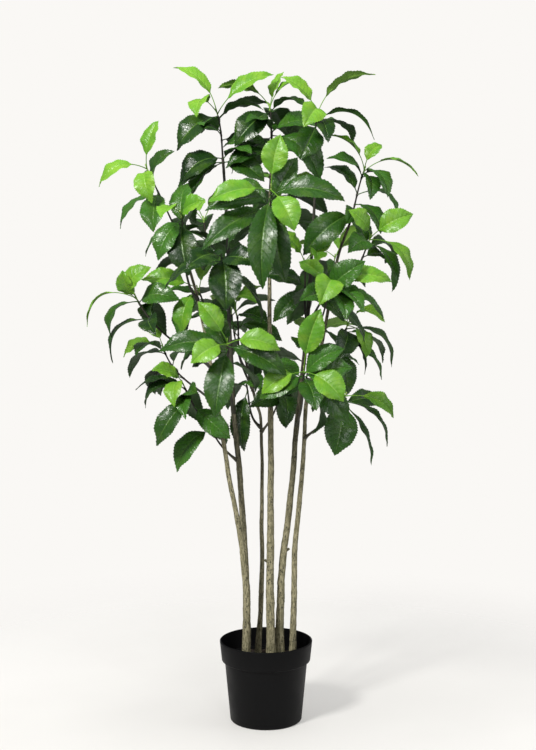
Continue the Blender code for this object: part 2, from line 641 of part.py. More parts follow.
def leaf_mesh(pose, extra=0.0):
    """Points and faces of a leaf: a stalk that widens into a folded, toothed blade.

    extra thickens and widens it, for the test that it is clear of its neighbours.
    """
    stalk = STALK_SHARE[pose["kind"]]
    stalk_radius = STALK_RADIUS[pose["kind"]] + extra
    fold = math.radians(FOLD_DEGREES)
    point, side, face = midrib(pose, 0.0)
    root_radius = ROOT_SHARE * stalk_radius
    points = [point + root_radius * face, point + root_radius * (ROOT_SPREAD * side - ROOT_DROP * face),
              point - root_radius * (ROOT_SPREAD * side + ROOT_DROP * face)]
    point, side, face = midrib(pose, stalk)
    points += [point + STALK_SPREAD * stalk_radius * side, point - STALK_SPREAD * stalk_radius * side,
               point + stalk_radius * face, point - stalk_radius * face]
    for share in MIDRIB_SHARES[1:]:
        point, side, face = midrib(pose, stalk + (1 - stalk) * share)
        half_thickness = 0.5 * LEAF_THICKNESS * (THICKEST - THINNING * share) + extra
        points.extend([point + half_thickness * face, point - half_thickness * face])
    edges = {1: [], -1: []}
    for hand in (1, -1):
        for index, share in enumerate(EDGE_SHARES):
            point, side, face = midrib(pose, stalk + (1 - stalk) * share)
            tooth = 1 + TOOTH * (1 if index % 2 else -1)
            half = 0.5 * pose["width"] * blade_half_width(share) * tooth + 2 * extra
            wave = EDGE_WAVE * (1 if (index + (hand > 0)) % 2 else -1)
            edges[hand].append(len(points))
            points.append(point + hand * half * math.cos(fold) * side + (half * math.sin(fold) + wave) * face)
    tip = len(points)
    end, side, face = midrib(pose, 1.0)
    points.append(end + 2 * extra * face.cross(side))
    return points, leaf_faces(edges, tip)


def leaf_faces(edges, tip):
    """Faces of leaf_mesh: a three-sided stalk, then both faces of the blade in matching triangles."""
    root_top, root_right, root_left, right, left, upper, lower = range(STALK_POINTS)
    faces = [
        (root_top, root_right, root_left),
        (root_top, root_right, right),
        (root_top, right, upper),
        (root_top, root_left, left),
        (root_top, left, upper),
        (root_right, root_left, lower),
        (root_left, left, lower),
        (root_right, right, lower),
    ]
    for first in (upper, lower):
        centre = [first] + [first + 2 * index for index in range(1, len(MIDRIB_SHARES))] + [tip]
        for start, rim in ((right, edges[1]), (left, edges[-1])):
            faces += strip(centre, [*MIDRIB_SHARES, 1.0], [start, *rim, tip], [0.0, *EDGE_SHARES, 1.0])
    return faces


def strip(centre, centre_at, rim, rim_at):
    """Triangles between a leaf's midrib and its edge, which meet at the tip."""
    faces = []
    i = j = 0
    while i < len(centre) - 2 or j < len(rim) - 2:
        if j == len(rim) - 2 or (i < len(centre) - 2 and centre_at[i + 1] < rim_at[j + 1]):
            faces.append((centre[i], centre[i + 1], rim[j]))
            i += 1
        else:
            faces.append((centre[i], rim[j], rim[j + 1]))
            j += 1
    faces.append((centre[i], rim[j], rim[-1]))
    return faces


# Keeping leaves clear of each other


class Crowd:
    """What is already placed: each piece as a search tree, with the node that it belongs to."""

    def __init__(self):
        self.things = []

    def add(self, node, points, faces, blade=None):
        low = [min(p[axis] for p in points) for axis in range(3)]
        high = [max(p[axis] for p in points) for axis in range(3)]
        tree = BVHTree.FromPolygons([tuple(p) for p in points], faces)
        own = BVHTree.FromPolygons(*blade) if blade else None
        self.things.append((node, low, high, tree, own))

    def hit(self, node, points, faces, blade):
        """Whether a shape meets another node's piece, or its blade meets a blade of its own node."""
        low = [min(p[axis] for p in points) for axis in range(3)]
        high = [max(p[axis] for p in points) for axis in range(3)]
        tree = BVHTree.FromPolygons([tuple(p) for p in points], faces)
        own = BVHTree.FromPolygons(*blade)
        for other, other_low, other_high, other_tree, other_own in self.things:
            if any(low[axis] > other_high[axis] or high[axis] < other_low[axis] for axis in range(3)):
                continue
            if other != node and tree.overlap(other_tree):
                return True
            if other == node and other_own and own.overlap(other_own):
                return True
        return False


def blade_only(points, faces):
    """A leaf without its stalk, for the test against leaves of its own spray."""
    return [tuple(p) for p in points], [face for face in faces if min(face) >= STALK_POINTS]


def tries():
    """Small turns of a leaf, nearest first, as (clock, lean) in degrees, then the same on smaller leaves."""
    turns = [(0, 0)]
    for ring in range(1, TRY_RINGS + 1):
        for index in range(TRY_AROUND):
            angle = math.radians(360 * index / TRY_AROUND + TRY_TWIST * ring)
            turns.append((ring * TRY_STEP * math.cos(angle), ring * TRY_STEP * math.sin(angle)))
    return [(turn, shrink) for shrink in SHRINKS for turn in turns]


TRIES = tries()


def place_leaf(crowd, node, kind, root, heading, length, width, arch, sweep, sky):
    """The leaf's pose, turned or shrunk just enough to be clear, or None where there is no room."""
    across = heading.cross(Vector((0, 0, 1)))
    if across.length < NEARLY_UPRIGHT:
        across = heading.cross(Vector((0, 1, 0)))
    across.normalize()
    lift = across.cross(heading)
    for (turn, raise_), shrink in TRIES:
        bent = Matrix.Rotation(math.radians(turn), 3, lift) @ heading
        bent = Matrix.Rotation(math.radians(raise_), 3, across) @ bent
        pose = leaf_pose(kind, root, bent, length * shrink, width * shrink, arch, sweep, sky)
        points, faces = leaf_mesh(pose, CLEARANCE)
        if not crowd.hit(node, points, faces, blade_only(points, faces)):
            points, faces = leaf_mesh(pose)
            crowd.add(node, points, faces, blade_only(points, faces))
            return pose
    return None


def fill_leaves(plan, rng):
    """Mature leaves placed by rule round a spray: each turns on from the last by the golden angle."""
    outward = math.atan2(plan["tip"].y, plan["tip"].x)
    turn = rng.uniform(0, 360)
    rows = []
    for index in range(plan["fill"]):
        turn += GOLDEN_ANGLE
        if plan["all_round"]:
            angle = math.radians(turn)
        else:
            angle = math.radians(plan["away"] + FAR_SIDE_SPREAD * math.sin(math.radians(turn)))
        levels = ALL_ROUND_LEVELS if plan["all_round"] else FILL_LEVELS
        down = levels[index % len(levels)]
        rise = math.radians(rng.uniform(*FILL_RISE) - FILL_RISE_PER_MM * down)
        heading = Vector((math.cos(rise) * math.cos(angle), math.cos(rise) * math.sin(angle), math.sin(rise)))
        heading = (heading + FILL_OUTWARD * Vector((math.cos(outward), math.sin(outward), 0))).normalized()
        rows.append((down, heading, rng.uniform(*MATURE_LENGTH), rng.uniform(*MATURE_WIDTH),
                     rng.uniform(*FILL_ARCH), 0.0))
    return rows


def young_by_rule(plan, rng):
    """Young leaves in a rising whorl, for a spray that faces away."""
    turn = rng.uniform(0, 360)
    rows = []
    for index in range(WHORL):
        angle = math.radians(turn + 360 * index / WHORL + rng.uniform(-WHORL_STRAY, WHORL_STRAY))
        rise = math.radians(rng.uniform(*WHORL_RISE))
        heading = Vector((math.cos(rise) * math.cos(angle), math.cos(rise) * math.sin(angle), math.sin(rise)))
        rows.append((0, heading, rng.uniform(*YOUNG_LENGTH), rng.uniform(*YOUNG_WIDTH),
                     rng.uniform(*WHORL_ARCH), 0.0))
    return rows


def planned_rows(rows):
    leaves = []
    for down, clock, lean, length, width, arch, *facing in rows:
        turn = (facing[0] if facing else FACING) / 10
        leaves.append((down, aim(clock, lean), length * MILLI, width * MILLI, arch / 100, turn))
    return leaves


def free_offset(taken, offset):
    """Moves a leaf's root down its twig until it is clear of the roots already there."""
    while any(abs(offset - other) < ROOTS_APART for other in taken):
        offset += ROOT_SPACING
    taken.append(offset)
    return offset


def plan_leaves(crowd, curves):
    """Every leaf's pose, by node. Those read from the front come first, then those placed by rule."""
    poses = {}
    taken = {}
    jobs = []
    for plan in SPRAYS:
        jobs.append((plan, "young", planned_rows(plan["young"])))
        jobs.append((plan, "mature", planned_rows(plan["mature"])))
    for plan in SPRAYS:
        rng = random.Random(plan["name"])
        if plan["all_round"]:
            jobs.append((plan, "young", young_by_rule(plan, rng)))
        jobs.append((plan, "mature", fill_leaves(plan, rng)))
    for plan, kind, rows in jobs:
        curve = curves[plan["name"]]
        node = kind + "_" + plan["name"]
        rng = random.Random(node)
        for down, heading, length, width, arch, facing in rows:
            offset = free_offset(taken.setdefault(node, []), max(FIRST_LEAF[kind], down * MILLI))
            root = below_tip(curve, offset)
            outward = Vector((root.x, root.y, 0)).normalized()
            sky = Vector((0, -facing, 1)) + OUTWARD_SHARE * outward
            sweep = rng.uniform(-SWEEP, SWEEP)
            pose = place_leaf(crowd, node, kind, root, heading, length, width, arch, sweep, sky)
            if pose:
                poses.setdefault(node, []).append(pose)
    return poses


# The whole tree


def make_stems(finish, curves):
    """Each stem in one piece with its side branches and snags."""
    for name, stem in STEMS.items():
        line, radii = stem_line(stem)
        points, faces = tube_mesh(line, radii, STEM_SIDES)
        body = add_object("stem_" + name, points, faces, finish)
        extras = []
        for plan in SPRAYS:
            curve = curves[plan["name"]]
            if plan["stem"] == name and not curve[4]:
                branch, branch_radii = branch_line(curve)
                branch_points, branch_faces = tube_mesh(branch, branch_radii, BRANCH_SIDES)
                extras.append(add_object("branch", branch_points, branch_faces))
        for stem_name, height, angle in SNAGS:
            if stem_name == name:
                extras.append(make_snag(line, height, angle))
        fuse(body, extras)


def make_snag(line, height, angle):
    start = at_height(line, height)[0]
    angle = math.radians(angle)
    outward = Vector((math.cos(angle), math.sin(angle), SNAG_RISE)).normalized()
    points, faces = tube_mesh([start, start + SNAG_LENGTH * outward], SNAG_RADII, BRANCH_SIDES)
    return add_object("snag", points, faces)


def make_sprays(finishes, curves, poses):
    for plan in SPRAYS:
        curve = curves[plan["name"]]
        for kind in ("mature", "young"):
            node = kind + "_" + plan["name"]
            if node not in poses:
                continue
            line, radii = twig_line(curve, curve[4]) if kind == "mature" else shoot_line(curve)
            points, faces = tube_mesh(line, radii, TWIG_SIDES)
            body = add_object(node, points, faces, finishes[kind])
            leaves = [add_object("leaf", *leaf_mesh(pose)) for pose in poses[node]]
            fuse(body, leaves)


def crowd_of_wood(curves):
    crowd = Crowd()
    for name, stem in STEMS.items():
        line, radii = stem_line(stem)
        crowd.add("stem_" + name, *tube_mesh(line, radii, STEM_SIDES))
    for plan in SPRAYS:
        curve = curves[plan["name"]]
        if not curve[4]:
            branch, branch_radii = branch_line(curve)
            crowd.add("stem_" + plan["stem"], *tube_mesh(branch, branch_radii, BRANCH_SIDES))
        line, radii = twig_line(curve, curve[4])
        crowd.add("mature_" + plan["name"], *tube_mesh(line, radii, TWIG_SIDES))
        line, radii = shoot_line(curve)
        crowd.add("young_" + plan["name"], *tube_mesh(line, radii, TWIG_SIDES))
    return crowd


def main():
    clear_scene()
    plastic = material("pot_plastic", (0.012, 0.012, 0.012), 0.55)
    earth = material("soil", (0.035, 0.022, 0.014), 0.95)
    bark = material("bark", (0.22, 0.19, 0.13), 0.85)
    finishes = {
        "mature": material("leaf_mature", (0.035, 0.105, 0.035), 0.35),
        "young": material("leaf_young", (0.23, 0.52, 0.06), 0.40),
    }
    curves = {}
    for plan in SPRAYS:
        curves[plan["name"]] = branch_curve(plan, stem_line(STEMS[plan["stem"]])[0])
    poses = plan_leaves(crowd_of_wood(curves), curves)
    make_pot(plastic)
    make_soil(earth)
    make_stems(bark, curves)
    make_sprays(finishes, curves, poses)


main()
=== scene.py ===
"""Looks of the potted avocado tree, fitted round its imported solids: fine leaves, bark, pot and soil."""
import math
import random

import bpy
import numpy as np
from mathutils import Matrix, Vector, noise
from mathutils.bvhtree import BVHTree


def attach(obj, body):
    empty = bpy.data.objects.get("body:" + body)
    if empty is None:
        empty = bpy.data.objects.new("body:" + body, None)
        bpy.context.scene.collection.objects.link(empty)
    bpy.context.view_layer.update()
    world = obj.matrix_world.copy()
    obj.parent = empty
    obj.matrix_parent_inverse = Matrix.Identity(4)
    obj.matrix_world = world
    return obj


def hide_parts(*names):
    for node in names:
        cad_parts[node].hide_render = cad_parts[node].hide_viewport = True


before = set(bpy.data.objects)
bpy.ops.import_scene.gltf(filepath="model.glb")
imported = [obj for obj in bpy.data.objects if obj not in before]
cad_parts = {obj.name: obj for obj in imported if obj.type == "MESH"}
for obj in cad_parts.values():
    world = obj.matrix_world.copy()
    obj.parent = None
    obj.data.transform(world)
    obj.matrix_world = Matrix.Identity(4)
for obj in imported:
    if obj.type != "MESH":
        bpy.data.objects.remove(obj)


# Sizes and rules of the solids, in metres and degrees
POT_HEIGHT = 0.187
RIM_RADIUS = 0.106
BAND_HEIGHT = 0.046
BODY_TOP_RADIUS = 0.0945
BASE_RADIUS = 0.0820
POT_WALL = 0.0024
BAND_TAPER = 0.0045
BAND_LEDGE = 0.003
LIP_ROUND = 0.001
BASE_CHAMFER = 0.003
FOOT_HEIGHT = 0.004
FOOT_WIDTH = 0.012
PAD_RADIUS = 0.022
DRAIN_COUNT = 4
DRAIN_RADIUS = 0.006
DRAIN_CIRCLE = 0.045
GAP = 0.0003
SOIL_TOP = 0.138
STEM_DEPTH = 0.030
STEM_SIDES = 7
STEM_STEPS = 10
FLARE = 0.22
STEM_TAPER = 1.35
SNAG_LENGTH = 0.016
SNAG_RADII = (0.0032, 0.0026)
SNAG_RISE = 0.7
BRANCH_SIDES = 5
BRANCH_STEPS = 2
BRANCH_RADIUS = 0.0030
BRANCH_SHARE = 0.42
SOCKET_RADIUS = 0.0024
TWIG_SIDES = 3
TWIG_STEPS = 4
TWIG_RADIUS = 0.0021
TWIG_END_RADIUS = 0.0017
JOINT_GAP = 0.0006
SHOOT_LENGTH = 0.014
SHOOT_TIP_SHARE = 0.8
SHOOT_RADIUS = 0.0016
TOP_ZONE = 0.045
CURVE_PULL = 0.36
LEAVE_ALONG = 0.55
LEAVE_OUTWARD = 0.75
ARRIVE_OUTWARD = 0.40
ARRIVE_UP = 0.92
WALK_STEPS = 60
FIRST_LEAF = {"young": 0.0035, "mature": SHOOT_LENGTH + 0.0025}
ROOT_SPACING = 0.0028
ROOTS_APART = 0.0025
ALL_ROUND_LEVELS = (12, 20, 62, 70, 112, 120, 160)
FILL_LEVELS = (20, 58, 70, 108)
GOLDEN_ANGLE = 137.5
FAR_SIDE_SPREAD = 50
FILL_RISE = (-42, 18)
FILL_RISE_PER_MM = 0.12
FILL_OUTWARD = 0.25
FILL_ARCH = (0.12, 0.26)
WHORL = 3
WHORL_STRAY = 15
WHORL_RISE = (15, 45)
WHORL_ARCH = (0.10, 0.22)
SWEEP = 0.05
OUTWARD_SHARE = 0.6
FACING = 8
LEAF_THICKNESS = 0.0018
MIDRIB_SHARES = (0.0, 0.36, 0.72)
EDGE_SHARES = (0.14, 0.36, 0.61, 0.85)
BLADE_SKEW = 0.92
BLADE_FULLNESS = 0.82
TOOTH = 0.045
EDGE_WAVE = 0.0016
FOLD_DEGREES = 17
THICKEST = 1.1
THINNING = 0.35
STALK_POINTS = 7
STALK_SPREAD = 1.3
ROOT_SHARE = 0.55
ROOT_SPREAD = 0.9
ROOT_DROP = 0.6
STALK_SHARE = {"mature": 0.11, "young": 0.26}
STALK_RADIUS = {"mature": 0.0012, "young": 0.0010}
MATURE_LENGTH = (0.115, 0.160)
MATURE_WIDTH = (0.048, 0.064)
YOUNG_LENGTH = (0.095, 0.125)
YOUNG_WIDTH = (0.040, 0.050)
CLEARANCE = 0.0009
NEARLY_UPRIGHT = 0.2
TRY_STEP = 6
TRY_RINGS = 8
TRY_AROUND = 8
TRY_TWIST = 20
SHRINKS = (1.0, 0.85, 0.7)
MILLI = 0.001

# Fine leaves. Columns run across a blade from its right edge to its left
LEAF_COLUMNS = (1.0, 0.8, 0.55, 0.3, 0.08, 0.0, -0.08, -0.3, -0.55, -0.8, -1.0)
BLADE_ROWS = 60
STALK_ROWS = 7
BLADE_THICKNESS = 0.0006
THIN_EDGE = 6
LEAF_TONES = {"low_left": 1.0, "front_left": 0.0, "front_high": 0.35, "low_right": 0.25,
              "front_low_left": 0.4}
TIP_PINCH = 0.35
ROWS_A_TOOTH = 3
TOOTH_DEPTH = 0.0030
TOOTH_HOOK = 1.4
STALK_SWELL = 0.7
SWELL_FALL = 6
RIB_TAPER = 0.75
RIB_WIDTH = 1.3
RIB_HOLLOW = 0.25
RIB_HOLLOW_WIDTH = 0.2
GROOVE = 0.35
GROOVE_WIDTH = 0.06
FOLD_STRAY = (-5, 5)
RIPPLE = 0.0012
RIPPLES = (3.2, 4.6)
WAVE_SPACING = 0.237
ROLL = 0.10
QUILT = 0.0018
QUILT_ROUND = 0.7
QUILT_REACH = 0.6
TIP_CURL = 0.02
CURL_STRAY = (0.2, 1.0)
VEIN_COUNT = 9.0
VEIN_SLANT = 0.19
VEIN_CURVE = 1.25
SHARP_DEGREES = 70

# Where a blade changes, as shares of its length, and TOOTHED_EDGE as shares of its half width
OPENING = (0.0, 0.10)
TOOTHED_FROM = (0.06, 0.16)
TOOTHED_TO = (0.93, 1.0)
TOOTHED_EDGE = (0.9, 1.0)
QUILT_FROM = (0.03, 0.2)
QUILT_TO = (0.80, 0.98)
CURL_ZONE = (0.7, 1.0)
TIP_ZONE = (0.72, 0.97)

# Fine wood. Roughness is relief over the radius, scars are the rings that old leaves left
STEM_ROWS = 260
FOOT_ROWS = 30
STEM_AROUND = 18
STEM_ROUGH = 0.13
STEM_SCARS = 0.055
STEM_WAVER = 0.0016
WAVER_LENGTH = 0.07
WAVER_LEVELS = (0.5, 7.5)
WAVER_EASE = 0.05
FLARE_FADE = 0.03
RIDGES = 2.4
RIDGE_LENGTH = 0.045
LUMPS = 1.1
LUMP_LENGTH = 0.013
LUMP_SHARE = 0.7
SCAR_START = 0.01
SCAR_HEIGHT = 0.6
SCAR_WIDTH = 0.0022
SCAR_SIZES = (0.4, 1.0)
SCAR_STEPS = (0.5, 1.5)
NOISE_SPAN = 50
BRANCH_ROWS = 22
BRANCH_AROUND = 10
BRANCH_ROUGH = 0.05
BRANCH_SCARS = 0.03
BRANCH_TONE = 0.55
COLLAR = 0.8
COLLAR_START = 0.6
COLLAR_LENGTH = 0.006
SNAG_ROWS = 8
SNAG_ROUGH = 0.10
SNAG_SCARS = 0.008
SNAG_TONE = 0.75
SNAG_BLUNT = 0.2
TWIG_ROWS = 60
TWIG_AROUND = 9
TWIG_ROUGH = 0.04
TWIG_SCARS = 0.025
TWIG_OVERLAP = 0.01
TOP_TWIG_RADIUS = 0.0028
TWIG_FLARE = 0.02
NODE_SWELL = 0.0006
NODE_WIDTH = 0.0028
SHOOT_ROWS = 8
SHOOT_AROUND = 10
SHOOT_TAPER = 0.25
BUD_ROWS = 7
BUD_LENGTH = 0.005
BUD_ROUND = (0.95, 0.2)
BUD_BLUNT = 0.6
STEM_TONES = {"left_outer": -0.45, "left_inner": 0.3, "back": 0.35, "centre": -0.6, "right_inner": 0.2,
              "right": -0.35}

# Fine pot and soil
POT_AROUND = 128
POT_ROUNDING = 0.0012
MOST_OF_EDGE = 0.45
ROUNDING_STEPS = 3
DRAIN_SIDES = 24
PUNCH_LENGTH = 0.016
SOIL_AROUND = 160
SOIL_RINGS = 60
SOIL_SIDE = 0.006
SOIL_CLODS = [(0.0022, 0.011, (0, 0, 0)), (0.0016, 0.0045, (7, 0, 0)), (0.0032, 0.035, (0, 9, 0))]
MOUND = 0.003
MOUND_WIDTH = 0.016

# Colours as 0 to 255 on screen
MATURE = dict(dark=(24, 54, 16), light=(66, 118, 36), warm=(70, 104, 26), vein=(26, 54, 20),
              rib=(104, 144, 62), underside=(46, 78, 28), gloss=0.24)
YOUNG = dict(dark=(88, 148, 34), light=(118, 172, 48), warm=(142, 184, 52), vein=(78, 134, 32),
             rib=(150, 190, 84), underside=(130, 174, 70), gloss=0.31)
BARK = dict(pale=(178, 170, 136), mid=(112, 108, 80), dark=(52, 52, 45), pit=(40, 38, 30))
DARK_TWIG = dict(dark=(24, 21, 17), light=(52, 44, 34), roughness=0.6)
PALE_SHOOT = dict(dark=(120, 160, 60), light=(190, 205, 120), roughness=0.4)
PLASTIC = dict(dark=(7, 7, 8), light=(12, 12, 13), scuffed=(30, 30, 30), specular=0.12)
SOIL = dict(dark=(24, 18, 13), light=(58, 42, 30), damp=(20, 15, 12), bits=(112, 92, 66))
FLOOR = dict(dark=(196, 195, 192), light=(206, 205, 202), glow=(255, 252, 247), roughness=0.6)

# Studio
FLOOR_CLEAR = 0.4
FLOOR_RADIUS = 1.5
FLOOR_SIDES = 64
FLOOR_GLOW = 0.33
WORLD_SEEN = dict(colour=(250, 248, 245), strength=1.0)
WORLD_LIGHT = dict(colour=(246, 249, 255), strength=0.18)
WORLD_MIRRORED = 0.10
WARM_WHITE = (1.0, 0.985, 0.96)
WHITE = (1.0, 1.0, 1.0)
LIGHTS = {
    "key": dict(place=(-1.6, -2.2, 2.8), aim_at=(0, 0, 0.9), size=(0.6, 0.6), power=105, colour=WARM_WHITE),
    "front": dict(place=(0.9, -3.4, 1.7), aim_at=(0, 0, 0.9), size=(0.8, 1.2), power=18),
    "right": dict(place=(2.4, -0.6, 1.7), aim_at=(0, 0, 0.9), size=(1.0, 1.8), power=10),
    "top": dict(place=(0.1, 0.5, 4.2), aim_at=(0, 0.3, 0.0), size=(3.4, 3.4), power=105, mirrored=False),
}
CAMERA_PLACE = (0.0045, -3.3, 1.15)
CAMERA_DOWN = 6.1
CAMERA_LENS = 70.8
CAMERA_SENSOR = 36

# Points on each stem's centre line, from inside the soil to its top, and its radii in mm
STEMS = {
    "left_outer": dict(foot=8.0, top=3.0, line=[
        (-0.0445, -0.030, STEM_DEPTH), (-0.0450, -0.030, 0.16), (-0.0440, -0.030, 0.28),
        (-0.051, -0.031, 0.38), (-0.062, -0.032, 0.46), (-0.081, -0.034, 0.56),
        (-0.092, -0.035, 0.64), (-0.119, -0.038, 0.80),
        (-0.150, -0.040, 0.97), (-0.176, -0.042, 1.06)]),
    "left_inner": dict(foot=9.4, top=3.0, line=[
        (-0.0450, 0.006, STEM_DEPTH), (-0.0450, 0.006, 0.16), (-0.0440, 0.006, 0.28), (-0.050, 0.006, 0.42),
        (-0.060, 0.008, 0.567), (-0.071, 0.012, 0.68), (-0.079, 0.017, 0.82), (-0.084, 0.022, 0.98),
        (-0.088, 0.030, 1.166), (-0.096, 0.038, 1.27)]),
    "back": dict(foot=6.6, top=2.8, line=[
        (-0.0190, 0.042, STEM_DEPTH), (-0.0180, 0.044, 0.16), (-0.0110, 0.050, 0.28), (-0.010, 0.055, 0.45),
        (-0.0110, 0.060, 0.665), (-0.024, 0.068, 0.73), (-0.042, 0.080, 0.80), (-0.055, 0.090, 0.86)]),
    "centre": dict(foot=10.4, top=3.0, line=[
        (0.0105, -0.036, STEM_DEPTH), (0.0105, -0.036, 0.16), (0.0095, -0.034, 0.30), (0.0105, -0.030, 0.46),
        (0.0100, -0.022, 0.62), (0.0095, -0.012, 0.80), (0.0080, 0.004, 0.98), (0.0090, 0.022, 1.16),
        (0.0120, 0.038, 1.29)]),
    "right_inner": dict(foot=9.6, top=3.0, line=[
        (0.0320, -0.014, STEM_DEPTH), (0.0320, -0.014, 0.16), (0.0325, -0.012, 0.28), (0.0370, -0.009, 0.37),
        (0.0510, -0.002, 0.478), (0.0600, 0.003, 0.567), (0.0680, 0.008, 0.66), (0.0790, 0.013, 0.765),
        (0.0900, 0.018, 0.87), (0.0980, 0.021, 0.98), (0.1060, 0.024, 1.13), (0.1120, 0.024, 1.26)]),
    "right": dict(foot=7.6, top=3.0, line=[
        (0.0605, -0.012, STEM_DEPTH), (0.0605, -0.012, 0.16), (0.0630, -0.012, 0.28), (0.0670, -0.011, 0.42),
        (0.0760, -0.009, 0.51), (0.0845, -0.007, 0.61), (0.0915, -0.004, 0.74), (0.1080, 0.002, 0.80),
        (0.1280, 0.008, 0.88), (0.1440, 0.014, 0.97), (0.1620, 0.024, 1.06), (0.1860, 0.034, 1.13)]),
}

# Short ends of cut side shoots: stem, height, direction as degrees from +X
SNAGS = [("centre", 0.372, 190), ("right_inner", 0.392, 5)]


def spray(name, stem, at, tip, young=(), mature=(), fill=0, away=90, all_round=False):
    """One leafy spray: the stem and height that it leaves, its tip, and its leaves.

    A leaf is (mm below the tip, clock, lean, length mm, width mm, arch %, facing). Clock is its direction
    seen from the front, 0 at +X and 90 at +Z, lean is how far it points out of that plane to the front,
    and facing, in tenths and 8 if left out, is how far its upper face turns to the front.
    fill adds mature leaves by rule, about the direction away, in degrees from +X, or all round.
    """
    return dict(name=name, stem=stem, at=at, tip=Vector(tip), young=list(young), mature=list(mature),
                fill=fill, away=away, all_round=all_round)


